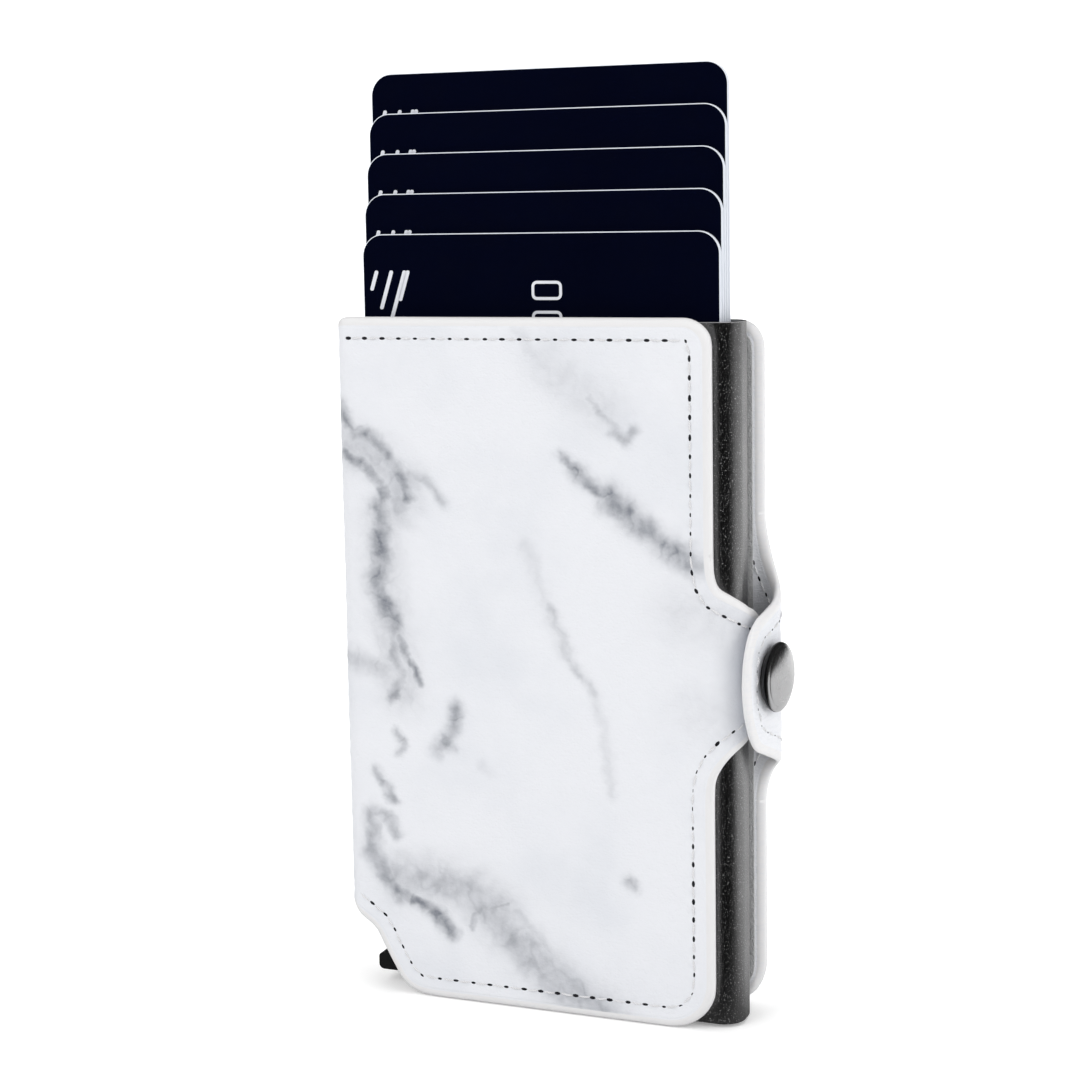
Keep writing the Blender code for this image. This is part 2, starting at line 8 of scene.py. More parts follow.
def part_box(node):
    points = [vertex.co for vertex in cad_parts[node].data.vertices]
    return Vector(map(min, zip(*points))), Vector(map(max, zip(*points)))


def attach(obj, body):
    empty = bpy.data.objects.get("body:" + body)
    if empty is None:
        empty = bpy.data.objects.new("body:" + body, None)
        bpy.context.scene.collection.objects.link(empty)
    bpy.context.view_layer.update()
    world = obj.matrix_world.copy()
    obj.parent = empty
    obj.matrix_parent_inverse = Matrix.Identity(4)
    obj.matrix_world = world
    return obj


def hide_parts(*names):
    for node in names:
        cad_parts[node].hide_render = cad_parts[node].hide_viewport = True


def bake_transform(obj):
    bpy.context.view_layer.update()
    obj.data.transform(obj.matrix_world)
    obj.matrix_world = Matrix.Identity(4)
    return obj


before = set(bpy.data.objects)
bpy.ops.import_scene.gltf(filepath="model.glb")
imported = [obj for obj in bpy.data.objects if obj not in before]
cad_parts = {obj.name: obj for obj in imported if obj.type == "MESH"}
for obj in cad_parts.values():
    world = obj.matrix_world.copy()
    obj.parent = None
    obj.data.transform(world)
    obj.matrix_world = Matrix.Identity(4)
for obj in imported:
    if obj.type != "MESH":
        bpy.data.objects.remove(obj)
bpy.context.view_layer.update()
print("frame loaded")

# Everything is drawn in millimetres from the case's middle and the front cover's outer face.
millimetre = 0.001
caseLow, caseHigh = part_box("card_case")
middleX = (caseLow.x + caseHigh.x) / 2
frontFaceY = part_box("front_panel")[0].y
backFace = (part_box("back_panel")[1].y - frontFaceY) / millimetre
closureZ = (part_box("snap_cap")[0].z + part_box("snap_cap")[1].z) / 2 / millimetre
halfTurn = math.pi


def toFrame(x, y, z):
    return Vector((middleX + x * millimetre, frontFaceY + y * millimetre, z * millimetre))


def nodeBox(node):  # a CAD node's corners in drawing millimetres
    low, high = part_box(node)
    shift = Vector((middleX, frontFaceY, 0))
    return (low - shift) / millimetre, (high - shift) / millimetre

class NodeDesk:  # short ways to place and wire shader nodes
    def __init__(self, tree):
        self.tree = tree

    def add(self, kind, **settings):
        node = self.tree.nodes.new(kind)
        for key, value in settings.items():
            setattr(node, key, value)
        return node

    def feed(self, socket, value):
        if isinstance(value, bpy.types.NodeSocket):
            self.tree.links.new(value, socket)
        elif value is not None:
            socket.default_value = value

    def maths(self, operation, a, b=None, c=None, clamp=False):
        node = self.add("ShaderNodeMath", operation=operation, use_clamp=clamp)
        for socket, value in zip(node.inputs, (a, b, c)):
            self.feed(socket, value)
        return node.outputs[0]

    def vector(self, operation, a, b=None, scale=None):
        node = self.add("ShaderNodeVectorMath", operation=operation)
        self.feed(node.inputs[0], a)
        self.feed(node.inputs[1], b)
        if scale is not None:
            self.feed(node.inputs["Scale"], scale)
        return node.outputs["Value" if operation in ("LENGTH", "DOT_PRODUCT", "DISTANCE") else "Vector"]

    def noise(self, place, scale, detail=2.0, roughness=0.5, colour=False):
        node = self.add("ShaderNodeTexNoise")
        self.feed(node.inputs["Vector"], place)
        self.feed(node.inputs["Scale"], scale)
        node.inputs["Detail"].default_value = detail
        node.inputs["Roughness"].default_value = roughness
        return node.outputs["Color" if colour else "Fac"]

    def ramp(self, value, low, high, toLow=0.0, toHigh=1.0):
        node = self.add("ShaderNodeMapRange", interpolation_type="SMOOTHSTEP")
        for socket, item in zip(node.inputs, (value, low, high, toLow, toHigh)):
            self.feed(socket, item)
        return node.outputs[0]

    def blendColour(self, share, first, second, kind="MIX"):
        node = self.add("ShaderNodeMix", data_type="RGBA", blend_type=kind)
        self.feed(node.inputs["Factor"], share)
        self.feed(node.inputs["A"], first)
        self.feed(node.inputs["B"], second)
        return node.outputs["Result"]

    def bump(self, height, distance, strength=1.0, normal=None):
        node = self.add("ShaderNodeBump")
        node.inputs["Strength"].default_value = strength
        node.inputs["Distance"].default_value = distance
        self.feed(node.inputs["Height"], height)
        self.feed(node.inputs["Normal"], normal)
        return node.outputs[0]

    def group(self, tree, **values):
        node = self.add("ShaderNodeGroup")
        node.node_tree = tree
        for key, value in values.items():
            self.feed(node.inputs[key], value)
        return node


def newGroup(name, inputs, outputs):
    tree = bpy.data.node_groups.new(name, "ShaderNodeTree")
    for title, kind, value in inputs:
        socket = tree.interface.new_socket(title, in_out="INPUT", socket_type=kind)
        if value is not None:
            socket.default_value = value
    for title, kind in outputs:
        tree.interface.new_socket(title, in_out="OUTPUT", socket_type=kind)
    desk = NodeDesk(tree)
    return tree, desk, desk.add("NodeGroupInput").outputs, desk.add("NodeGroupOutput").inputs


floatSocket, vectorSocket, colourSocket = "NodeSocketFloat", "NodeSocketVector", "NodeSocketColor"


def buildGrainGroup():  # fine pores and soft folds of coated leather
    tree, desk, given, out = newGroup(
        "leatherGrain",
        [("Place", vectorSocket, None), ("Pores", floatSocket, 1.0), ("Creases", floatSocket, 1.0),
            ("Size", floatSocket, 1.0)],
        [("Height", floatSocket), ("Mask", floatSocket)],
    )
    place = desk.vector("SCALE", given["Place"], scale=given["Size"])
    cells = desk.add("ShaderNodeTexVoronoi", feature="SMOOTH_F1")
    cells.inputs["Smoothness"].default_value = 0.6
    desk.feed(cells.inputs["Vector"], place)
    cells.inputs["Scale"].default_value = 2.6
    pits = desk.ramp(cells.outputs["Distance"], 0.1, 0.55)
    fine = desk.noise(place, 6.0, 3.0)
    pores = desk.maths("MULTIPLY", desk.maths("ADD", pits, desk.maths("MULTIPLY", fine, 0.5)),
        given["Pores"])
    squeezed = desk.vector("MULTIPLY", place, (0.25, 1.0, 1.0))
    folds = desk.noise(squeezed, 0.9, 3.0, 0.6)
    ridge = desk.maths("ABSOLUTE", desk.maths("SUBTRACT", folds, 0.5))
    crease = desk.maths("MULTIPLY", desk.ramp(ridge, 0.0, 0.06, 0.0, 1.0), given["Creases"])
    desk.feed(out["Height"], desk.maths("ADD", pores, crease))
    # Mask of the crease lines, where the marble and lining paint shade into their colour: painted crease
    # shade.
    desk.feed(out["Mask"], desk.ramp(ridge, 0.0, 0.05, 1.0, 0.0))
    return tree


def buildVeinGroup():  # one smoky stroke of marble; the mask so far is carried in the place's third number
    tree, desk, given, out = newGroup(
        "marbleStroke",
        [
            ("Place", vectorSocket, None), ("From", vectorSocket, None), ("Along", vectorSocket, None),
            ("Share", vectorSocket, None), ("Sharpness", floatSocket, 1.0), ("Strength", floatSocket, 1.0),
        ],
        [("Place", vectorSocket)],
    )
    offset = desk.vector("SUBTRACT", given["Place"], given["From"])
    share = desk.maths("ADD", desk.vector("DOT_PRODUCT", offset, given["Share"]), 0.0, clamp=True)
    nearest = desk.vector("SCALE", given["Along"], scale=share)
    near = desk.maths("MULTIPLY", desk.vector("DISTANCE", offset, nearest), given["Sharpness"])
    falloff = desk.maths("EXPONENT", desk.maths("MULTIPLY", desk.maths("MULTIPLY", near, near), -1.0))
    joined = desk.add("ShaderNodeCombineXYZ")
    desk.feed(joined.inputs[0], -1000.0)
    desk.feed(joined.inputs[1], -1000.0)
    desk.feed(joined.inputs[2], desk.maths("MULTIPLY", falloff, given["Strength"]))
    desk.feed(out["Place"], desk.vector("MAXIMUM", given["Place"], joined.outputs[0]))
    return tree


def buildSpeckleGroup():  # blasted and anodised metal: fine bright grains and slow cloudiness
    tree, desk, given, out = newGroup(
        "blastedGrain",
        [("Place", vectorSocket, None), ("Size", floatSocket, 1.0)],
        [("Grains", floatSocket), ("Height", floatSocket), ("Cloud", floatSocket)],
    )
    place = desk.vector("SCALE", given["Place"], scale=given["Size"])
    fine = desk.noise(place, 5.0, 2.0, 0.7)
    desk.feed(out["Grains"], desk.ramp(fine, 0.59, 0.69))
    desk.feed(out["Height"], fine)
    desk.feed(out["Cloud"], desk.noise(place, 0.12, 3.0))
    return tree


def buildWearGroup():  # handling dust and faint smears
    tree, desk, given, out = newGroup(
        "handlingWear",
        [("Place", vectorSocket, None), ("Amount", floatSocket, 1.0)],
        [("Smear", floatSocket), ("Scratch", floatSocket)],
    )
    slow = desk.noise(given["Place"], 0.25, 4.0, 0.6)
    desk.feed(out["Smear"], desk.maths("MULTIPLY", desk.ramp(slow, 0.4, 0.7), given["Amount"]))
    stretched = desk.vector("MULTIPLY", given["Place"], (9.0, 9.0, 0.3))
    lines = desk.noise(stretched, 0.7, 2.0)
    desk.feed(out["Scratch"], desk.maths("MULTIPLY", desk.ramp(lines, 0.62, 0.7), given["Amount"]))
    return tree


leatherGrain = buildGrainGroup()
marbleStroke = buildVeinGroup()
blastedGrain = buildSpeckleGroup()
handlingWear = buildWearGroup()


def startMaterial(name, roughness, metallic=0.0, coat=0.0, specular=0.5):
    made = bpy.data.materials.new(name)
    made.use_nodes = True
    desk = NodeDesk(made.node_tree)
    shader = made.node_tree.nodes["Principled BSDF"]
    shader.inputs["Roughness"].default_value = roughness
    shader.inputs["Metallic"].default_value = metallic
    shader.inputs["Coat Weight"].default_value = coat
    shader.inputs["Specular IOR Level"].default_value = specular
    return made, desk, shader


def flatPlace(desk):  # unrolled place on a leather sheet: along, up, distance from the edge
    node = desk.add("ShaderNodeAttribute", attribute_name="flatPlace", attribute_type="GEOMETRY")
    return node.outputs["Vector"]


def solidPlace(desk):  # place in the piece itself, in millimetres
    node = desk.add("ShaderNodeTexCoord")
    return desk.vector("SCALE", node.outputs["Object"], scale=1 / millimetre)

marble = {
    "white": (0.82, 0.832, 0.868, 1),
    "vein": (0.2, 0.215, 0.25, 1),
    "cloud": (0.70, 0.725, 0.775, 1),
    "edgePaint": (0.8, 0.795, 0.8, 1),
    "rimWidth": 1.25,
    "roughness": 0.46,
}

# Marble strokes on the front cover: points are (across, up) in millimetres, then width and strength.
frontVeins = {
    "upperArch": ([(-30.5, 87), (-28, 84), (-25, 83), (-22.5, 81), (-20.5, 78), (-19.6, 74.6)], 1.25, 0.72),
    "upperArchInner": ([(-29.5, 81), (-26.3, 79.3), (-24, 77.2), (-23.3, 74.2), (-24.8, 72.7)], 1.05, 0.8),
    "archHaze": ([(-28.5, 82), (-24.5, 80), (-20.5, 77), (-21.5, 73)], 3.2, 0.42),
    "twig": ([(-20.5, 78), (-17, 77.5), (-15, 75.5), (-13.8, 74.2)], 1.0, 0.42),
    "trunkTop": ([(-24, 73), (-23.6, 70), (-24.2, 67.5), (-24, 64.5)], 1.9, 0.8),
    "trunkMiddle": ([(-24, 64.5), (-25, 61.5), (-23.2, 58.5), (-22.3, 55.3)], 1.9, 0.78),
    "trunkSplit": ([(-22.3, 55.3), (-22.2, 51), (-21.4, 48), (-22.6, 45)], 1.1, 0.62),
    "trunkSplitRight": ([(-21.5, 54), (-19.9, 50.5), (-18.4, 47.2)], 0.8, 0.72),
    "trunkHaze": ([(-23.4, 73), (-23.8, 62), (-22.3, 53), (-21, 46)], 3.2, 0.32),
    "crossStreak": ([(-31, 50.3), (-26.5, 50), (-23.6, 49.3)], 1.7, 0.42),
    "fleck": ([(-12.6, 44), (-12.9, 41.5), (-14.1, 38.8)], 1.2, 0.75),
    "fleckTail": ([(-13.5, 40), (-15.6, 38)], 1.1, 0.52),
    "fleckLeft": ([(-22.3, 39.8), (-20.7, 38.4), (-21.8, 36.6)], 0.75, 0.52),
    "lowLeft": ([(-25.9, 34), (-24, 31.5), (-22.8, 29.5)], 0.8, 0.6),
    "lowLeftEnd": ([(-25.9, 27.6), (-23.4, 26.2), (-22.5, 24.6)], 1.1, 0.5),
    "footLeft": ([(-26.6, 26.5), (-26.8, 21.5), (-24.3, 17.8), (-22, 15.3)], 1.5, 0.6),
    "footDark": ([(-22.7, 16.2), (-20.3, 15.2), (-17.3, 13.9), (-13.9, 10.4)], 1.15, 0.85),
    "footHaze": ([(-22, 18), (-16, 17.6), (-10.5, 16.8), (-6.5, 14.5)], 3.3, 0.48),
    "footBroad": ([(-10.5, 16.5), (-6, 12.5), (-1.5, 8), (3.5, 4), (10, 0.5)], 3.2, 0.54),
    "footBroadEdge": ([(-4.8, 15.6), (-1, 11.5), (3, 7.5), (7.5, 4)], 1.1, 0.32),
    "footCurl": ([(-10.6, 11.9), (-10.4, 13.8), (-8.8, 15.2), (-6.6, 14.9), (-5, 15.8)], 0.6, 0.6),
    "topFaint": ([(-1.5, 98.5), (0.5, 95.5)], 1.1, 0.16),
    "topHaze": ([(2.5, 94), (7, 90), (11, 88)], 3.4, 0.18),
    "topTail": ([(9, 89.5), (10.8, 87), (12.6, 84.9)], 0.8, 0.42),
    "topSpot": ([(12.3, 84.7), (13.9, 83.9), (14.8, 85.4)], 0.9, 0.6),
    "slashStart": ([(4.6, 81.3), (6.2, 79.6)], 0.9, 0.75),
    "slashUpper": ([(6.1, 79.6), (8.8, 77.6), (11.4, 75.8)], 1.15, 0.8),
    "slashLower": ([(11.4, 75.8), (15.2, 72.3), (19, 69.7), (23, 66.9)], 1.8, 0.82),
    "slashCore": ([(13, 74.5), (15.5, 72.3)], 1.1, 0.78),
    "slashEnd": ([(21.5, 68.3), (24.3, 66.8)], 1.7, 0.6),
    "middleFaint": ([(-1.5, 68.5), (0.6, 63.5), (2.6, 58), (4.4, 53.2)], 1.3, 0.15),
    "middleLine": ([(2.2, 60), (4.2, 54.5), (6.4, 50.6), (8.6, 47.6)], 0.8, 0.34),
    "middleTail": ([(8.6, 47.6), (9.9, 43), (10.7, 38), (11.3, 33.5)], 0.9, 0.17),
    "lowRightSpot": ([(13.7, 20.9), (14.7, 20.2)], 0.9, 0.5),
    "smallSpot": ([(-8.6, 35.8), (-7.4, 35)], 0.8, 0.14),
    "tabHaze": ([(22, 60), (30, 58)], 4.5, 0.16),
    "tabLowHaze": ([(24, 46), (31, 44)], 4.0, 0.12),
}

backVeins = {
    "sweepTop": ([(-25, 94), (-20.5, 88), (-17, 86.5), (-12.5, 79)], 1.3, 0.7),
    "sweepMiddle": ([(-12.5, 79), (-10.5, 73.5), (-6.5, 69), (-5.5, 64.5)], 2.2, 0.62),
    "sweepLow": ([(-5.5, 64.5), (-0.5, 60), (1.5, 55), (7, 50.5)], 1.5, 0.7),
    "sweepTail": ([(7, 50.5), (9.5, 45.5), (14.5, 41), (15.5, 37)], 0.9, 0.6),
    "sweepHaze": ([(-20, 88), (-13, 76), (-4, 67), (3, 55), (10, 49)], 5.0, 0.42),
    "branch": ([(-7, 67), (-12.5, 60.5), (-13, 54), (-17, 49.5)], 1.0, 0.6),
    "branchLow": ([(-17, 49.5), (-16.5, 42), (-20, 37), (-20.5, 31)], 1.5, 0.5),
    "branchHaze": ([(-10, 60), (-15.5, 47), (-18, 36)], 3.6, 0.34),
    "branchSmall": ([(2, 56), (8.5, 58), (13.5, 63.5), (21, 66.5)], 0.8, 0.42),
    "cornerCloud": ([(17, 92), (21, 86), (26, 84)], 3.4, 0.32),
    "cornerLine": ([(16, 90), (19.5, 86.5), (20.5, 82)], 0.9, 0.5),
    "footStart": ([(-9, 23), (-3.5, 19.5), (1, 19), (6, 14.5)], 2.6, 0.55),
    "footEnd": ([(6, 14.5), (12.5, 14), (17.5, 9.5), (25, 7.5)], 1.3, 0.66),
    "footHaze": ([(-6, 24), (4, 18), (18, 13)], 4.6, 0.4),
    "strapVein": ([(34, 56), (40, 53), (46, 54)], 1.2, 0.16),
}

maskScale = 0.001  # keeps the carried mask too small to count as a distance


def marbleMaterial(name, veins, haze, folds=1.0):
    made, desk, shader = startMaterial(name, marble["roughness"], coat=0.12)
    place = flatPlace(desk)
    split = desk.add("ShaderNodeSeparateXYZ")
    desk.feed(split.inputs[0], place)
    across, up, fromEdge = split.outputs
    joined = desk.add("ShaderNodeCombineXYZ")
    desk.feed(joined.inputs[0], across)
    desk.feed(joined.inputs[1], up)
    sheetPlace = joined.outputs[0]
    # The strokes' edges are torn by two sizes of drift.
    drift = desk.vector("SUBTRACT", desk.noise(sheetPlace, 0.22, 3.0, 0.6, colour=True), (0.5, 0.5, 0.5))
    tear = desk.vector("SUBTRACT", desk.noise(sheetPlace, 0.5, 2.0, 0.5, colour=True), (0.5, 0.5, 0.5))
    drifted = desk.vector("ADD", sheetPlace, desk.vector("SCALE", drift, scale=2.6))
    torn = desk.vector("ADD", drifted, desk.vector("SCALE", tear, scale=1.35))
    torn = desk.vector("MULTIPLY", torn, (1, 1, 0))
    carried = torn
    for points, width, strength in veins.values():
        for i, (start, end) in enumerate(zip(points, points[1:])):
            along = Vector((end[0] - start[0], end[1] - start[1], 0))
            node = desk.group(
                marbleStroke, Place=carried, From=(*start, 0), Along=along,
                Share=along / along.length_squared,
                Sharpness=1 / (width * (1 + 0.18 * math.sin(2.3 * i))), Strength=strength * maskScale,
            )
            carried = node.outputs["Place"]
    parted = desk.add("ShaderNodeSeparateXYZ")
    desk.feed(parted.inputs[0], carried)
    mask = desk.maths("MULTIPLY", parted.outputs[2], 1 / maskScale)
    body = desk.ramp(desk.noise(sheetPlace, 0.36, 3.0, 0.55), 0.3, 0.7, 0.62, 1.04)
    web = desk.maths("ABSOLUTE", desk.maths("SUBTRACT", desk.noise(drifted, 0.2, 2.0, 0.45), 0.5))
    fibres = desk.ramp(web, 0.0, 0.06, 0.24, 0.0)
    smoke = desk.maths("MULTIPLY", mask, desk.maths("ADD", body, fibres))
    clouds = desk.ramp(desk.noise(desk.vector("ADD", sheetPlace, (37, 11, 0)), 0.05, 3.0, 0.55), 0.42, 0.75,
        0.0, haze)
    speck = desk.ramp(desk.noise(sheetPlace, 3.4, 2.0), 0.3, 0.75, 0.96, 1.03)
    colour = desk.blendColour(clouds, marble["white"], marble["cloud"])
    colour = desk.blendColour(desk.maths("MULTIPLY", smoke, speck, clamp=True), colour, marble["vein"])
    rim = desk.ramp(fromEdge, marble["rimWidth"] - 0.12, marble["rimWidth"] + 0.05, 1.0, 0.0)
    colour = desk.blendColour(rim, colour, marble["edgePaint"])
    grain = desk.group(leatherGrain, Place=sheetPlace, Pores=0.55, Creases=0.25 * folds, Size=1.0)
    # Painted shade: the colour darkens to the cloud tone along the crease lines, more on the folded back
    # cover.
    creaseShadeShare = desk.maths("MULTIPLY", grain.outputs["Mask"], 0.14 * (folds - 1))
    desk.feed(shader.inputs["Base Color"], desk.blendColour(creaseShadeShare, colour, marble["cloud"]))
    flat = desk.maths("MULTIPLY", grain.outputs["Height"], desk.maths("SUBTRACT", 1.0, rim))
    groove = desk.ramp(desk.maths("ABSOLUTE", desk.maths("SUBTRACT", fromEdge, marble["rimWidth"] + 0.1)),
        0.0, 0.28, -1.2, 0.0)
    desk.feed(shader.inputs["Normal"], desk.bump(desk.maths("ADD", flat, groove), 0.00006, 0.55))
    gloss = desk.noise(sheetPlace, 0.5, 3.0)
    rough = desk.ramp(gloss, 0.3, 0.7, marble["roughness"] - 0.06, marble["roughness"] + 0.08)
    desk.feed(shader.inputs["Roughness"], desk.maths("SUBTRACT", rough, desk.maths("MULTIPLY", rim, 0.08)))
    return made


lining = {"colour": (0.58, 0.585, 0.59, 1), "shade": (0.44, 0.445, 0.45, 1), "roughness": 0.62}


def liningMaterial():
    made, desk, shader = startMaterial("liningLeather", lining["roughness"])
    place = flatPlace(desk)
    grain = desk.group(leatherGrain, Place=place, Pores=0.8, Creases=0.9, Size=1.1)
    slow = desk.ramp(desk.noise(place, 0.09, 3.0), 0.3, 0.7)
    colour = desk.blendColour(desk.maths("MULTIPLY", slow, 0.35), lining["colour"], lining["shade"])
    # Painted shade along the crease lines.
    colour = desk.blendColour(desk.maths("MULTIPLY", grain.outputs["Mask"], 0.3), colour, lining["shade"])
    desk.feed(shader.inputs["Base Color"], colour)
    desk.feed(shader.inputs["Normal"], desk.bump(grain.outputs["Height"], 0.00012, 0.7))
    desk.feed(shader.inputs["Roughness"], desk.ramp(slow, 0.0, 1.0, 0.56, 0.7))
    return made


def threadMaterial():
    made, desk, shader = startMaterial("whiteThread", 0.6)
    place = solidPlace(desk)
    strands = desk.add("ShaderNodeTexWave", wave_type="BANDS", bands_direction="DIAGONAL")
    desk.feed(strands.inputs["Vector"], place)
    strands.inputs["Scale"].default_value = 1.6
    strands.inputs["Distortion"].default_value = 1.0
    colour = desk.blendColour(strands.outputs["Fac"], (0.74, 0.74, 0.76, 1), (0.86, 0.86, 0.87, 1))
    desk.feed(shader.inputs["Base Color"], colour)
    desk.feed(shader.inputs["Normal"], desk.bump(strands.outputs["Fac"], 0.00005))
    return made


# Near-black finish for the needle holes: painted shade in the holes.
def paintedHoleShadeMaterial():
    made, desk, shader = startMaterial("paintedHoleShade", 0.8, specular=0.1)
    shade = desk.noise(solidPlace(desk), 1.4, 2.0)
    desk.feed(shader.inputs["Base Color"],
        desk.blendColour(shade, (0.006, 0.006, 0.008, 1), (0.03, 0.03, 0.035, 1)))
    return made


caseFinish = {"dark": (0.2, 0.2, 0.201, 1), "grain": (0.45, 0.45, 0.451, 1), "rough": (0.29, 0.35)}


def caseMaterial():
    made, desk, shader = startMaterial("anodisedCase", 0.36, metallic=1.0)
    place = solidPlace(desk)
    grain = desk.group(blastedGrain, Place=place, Size=1.0)
    wear = desk.group(handlingWear, Place=place, Amount=0.5)
    colour = desk.blendColour(grain.outputs["Grains"], caseFinish["dark"], caseFinish["grain"])
    colour = desk.blendColour(desk.maths("MULTIPLY", wear.outputs["Scratch"], 0.06), colour,
        (0.3, 0.3, 0.3, 1))
    desk.feed(shader.inputs["Base Color"], colour)
    desk.feed(shader.inputs["Metallic"], desk.maths("SUBTRACT", 1.0,
        desk.maths("MULTIPLY", grain.outputs["Grains"], 0.6)))
    low, high = caseFinish["rough"]
    desk.feed(shader.inputs["Roughness"], desk.ramp(grain.outputs["Cloud"], 0.3, 0.7, low, high))
    desk.feed(shader.inputs["Normal"], desk.bump(grain.outputs["Height"], 0.00005, 0.9))
    return made


def bareEdgeMaterial():  # the case's cut rim, where the metal shows bright
    made, desk, shader = startMaterial("brightRim", 0.3, metallic=0.4)
    grain = desk.group(blastedGrain, Place=solidPlace(desk), Size=2.0)
    desk.feed(shader.inputs["Base Color"],
        desk.blendColour(grain.outputs["Grains"], (0.66, 0.66, 0.67, 1), (0.8, 0.8, 0.81, 1)))
    desk.feed(shader.inputs["Roughness"], desk.ramp(grain.outputs["Cloud"], 0.3, 0.7, 0.2, 0.34))
    return made


def plasticMaterial(name, dark, light, roughness):
    made, desk, shader = startMaterial(name, roughness)
    place = solidPlace(desk)
    grain = desk.group(blastedGrain, Place=place, Size=1.1)
    wear = desk.group(handlingWear, Place=place, Amount=0.7)
    colour = desk.blendColour(desk.maths("MULTIPLY", grain.outputs["Grains"], 0.5), dark, light)
    colour = desk.blendColour(desk.maths("MULTIPLY", wear.outputs["Smear"], 0.25), colour, light)
    desk.feed(shader.inputs["Base Color"], colour)
    desk.feed(shader.inputs["Roughness"],
        desk.ramp(wear.outputs["Smear"], 0.0, 1.0, roughness - 0.06, roughness + 0.08))
    desk.feed(shader.inputs["Normal"], desk.bump(grain.outputs["Height"], 0.00004, 0.7))
    return made


def metalMaterial(name, dark, light, roughness):
    made, desk, shader = startMaterial(name, roughness, metallic=1.0)
    place = solidPlace(desk)
    wear = desk.group(handlingWear, Place=place, Amount=0.8)
    slow = desk.noise(place, 0.6, 3.0)
    colour = desk.blendColour(slow, dark, light)
    desk.feed(shader.inputs["Base Color"],
        desk.blendColour(desk.maths("MULTIPLY", wear.outputs["Scratch"], 0.15), colour, (0.5, 0.5, 0.5, 1)))
    desk.feed(shader.inputs["Roughness"],
        desk.ramp(wear.outputs["Smear"], 0.0, 1.0, roughness, roughness + 0.08))
    desk.feed(shader.inputs["Normal"], desk.bump(desk.noise(place, 3.0, 2.0), 0.000008, 0.5))
    return made


def feltMaterial():
    made, desk, shader = startMaterial("gripFelt", 0.95, specular=0.1)
    place = solidPlace(desk)
    fuzz = desk.noise(place, 3.5, 4.0, 0.8)
    desk.feed(shader.inputs["Base Color"],
        desk.blendColour(fuzz, (0.012, 0.012, 0.012, 1), (0.06, 0.06, 0.06, 1)))
    desk.feed(shader.inputs["Normal"], desk.bump(fuzz, 0.0003))
    return made


cardLook = {
    "face": (0.0006, 0.0011, 0.0065, 1),
    "faceLight": (0.0012, 0.0024, 0.012, 1),
    "core": (0.8, 0.83, 0.88, 1),
    "print": (0.82, 0.83, 0.86, 1),
    "roughness": 0.3,
}


def cardFaceMaterial():
    made, desk, shader = startMaterial("cardFace", cardLook["roughness"], specular=0.03)
    place = solidPlace(desk)
    slow = desk.noise(place, 0.06, 3.0)
    fine = desk.noise(place, 2.2, 2.0)
    mixed = desk.maths("ADD", desk.maths("MULTIPLY", slow, 0.6), desk.maths("MULTIPLY", fine, 0.3))
    desk.feed(shader.inputs["Base Color"], desk.blendColour(mixed, cardLook["face"], cardLook["faceLight"]))
    wear = desk.group(handlingWear, Place=place, Amount=1.0)
    desk.feed(shader.inputs["Roughness"], desk.ramp(wear.outputs["Smear"], 0.0, 1.0, 0.3, 0.42))
    desk.feed(shader.inputs["Normal"], desk.bump(fine, 0.00001, 0.5))
    return made


def cardCoreMaterial(name, colour):
    made, desk, shader = startMaterial(name, 0.5)
    layers = desk.noise(desk.vector("MULTIPLY", solidPlace(desk), (0.3, 6.0, 0.3)), 1.0, 2.0)
    darker = (colour[0] * 0.86, colour[1] * 0.88, colour[2] * 0.93, 1)
    desk.feed(shader.inputs["Base Color"], desk.blendColour(layers, darker, colour))
    desk.feed(shader.inputs["Roughness"], desk.ramp(layers, 0.3, 0.7, 0.44, 0.58))
    return made


printZones = [(-60, -9, 45, 120), (-60, -9, -10, 45), (-9, 60, 45, 120), (-9, 60, -10, 45)]


def nearZone(veins, zone):  # the strokes that can be seen in one part of the sheet
    left, right, low, high = zone
    found = {}
    for name, (points, width, strength) in veins.items():
        reach = 2.2 * width + 2.5
        for i, pair in enumerate(zip(points, points[1:])):
            across, up = zip(*pair)
            if (max(across) > left - reach and min(across) < right + reach
                    and max(up) > low - reach and min(up) < high + reach):
                found[f"{name}{i}"] = (list(pair), width, strength)
    return found


# a material for each zone, and one for the unprinted inner face
def zonedMarble(name, veins, haze, folds=1.0):
    looks = [marbleMaterial(f"{name}{i}", nearZone(veins, zone), haze, folds) for i,
        zone in enumerate(printZones)]
    return looks + [marbleMaterial(f"{name}Inner", {}, haze, folds)]


def zoneOf(across, up):
    return (0 if across < printZones[0][1] else 2) + (0 if up > printZones[0][2] else 1)


frontMarble = zonedMarble("frontMarble", frontVeins, 0.5)
backMarble = zonedMarble("backMarble", backVeins, 0.55, folds=3.0)
liningLeather = liningMaterial()
whiteThread = threadMaterial()
paintedHoleShade = paintedHoleShadeMaterial()
anodisedCase = caseMaterial()
brightRim = bareEdgeMaterial()
leverPlastic = plasticMaterial("leverPlastic", (0.008, 0.008, 0.009, 1), (0.03, 0.03, 0.032, 1), 0.5)
plugPlastic = plasticMaterial("plugPlastic", (0.012, 0.012, 0.013, 1), (0.035, 0.035, 0.037, 1), 0.6)
gunmetal = metalMaterial("gunmetalCap", (0.4, 0.4, 0.405, 1), (0.47, 0.47, 0.475, 1), 0.24)
darkSnap = metalMaterial("darkSnap", (0.03, 0.03, 0.032, 1), (0.06, 0.06, 0.062, 1), 0.3)
steelPin = metalMaterial("steelPin", (0.42, 0.42, 0.43, 1), (0.52, 0.52, 0.53, 1), 0.26)
gripFelt = feltMaterial()
cardFace = cardFaceMaterial()
cardCore = cardCoreMaterial("cardCore", cardLook["core"])
cardPrint = cardCoreMaterial("cardPrint", cardLook["print"])
print("finishes made")

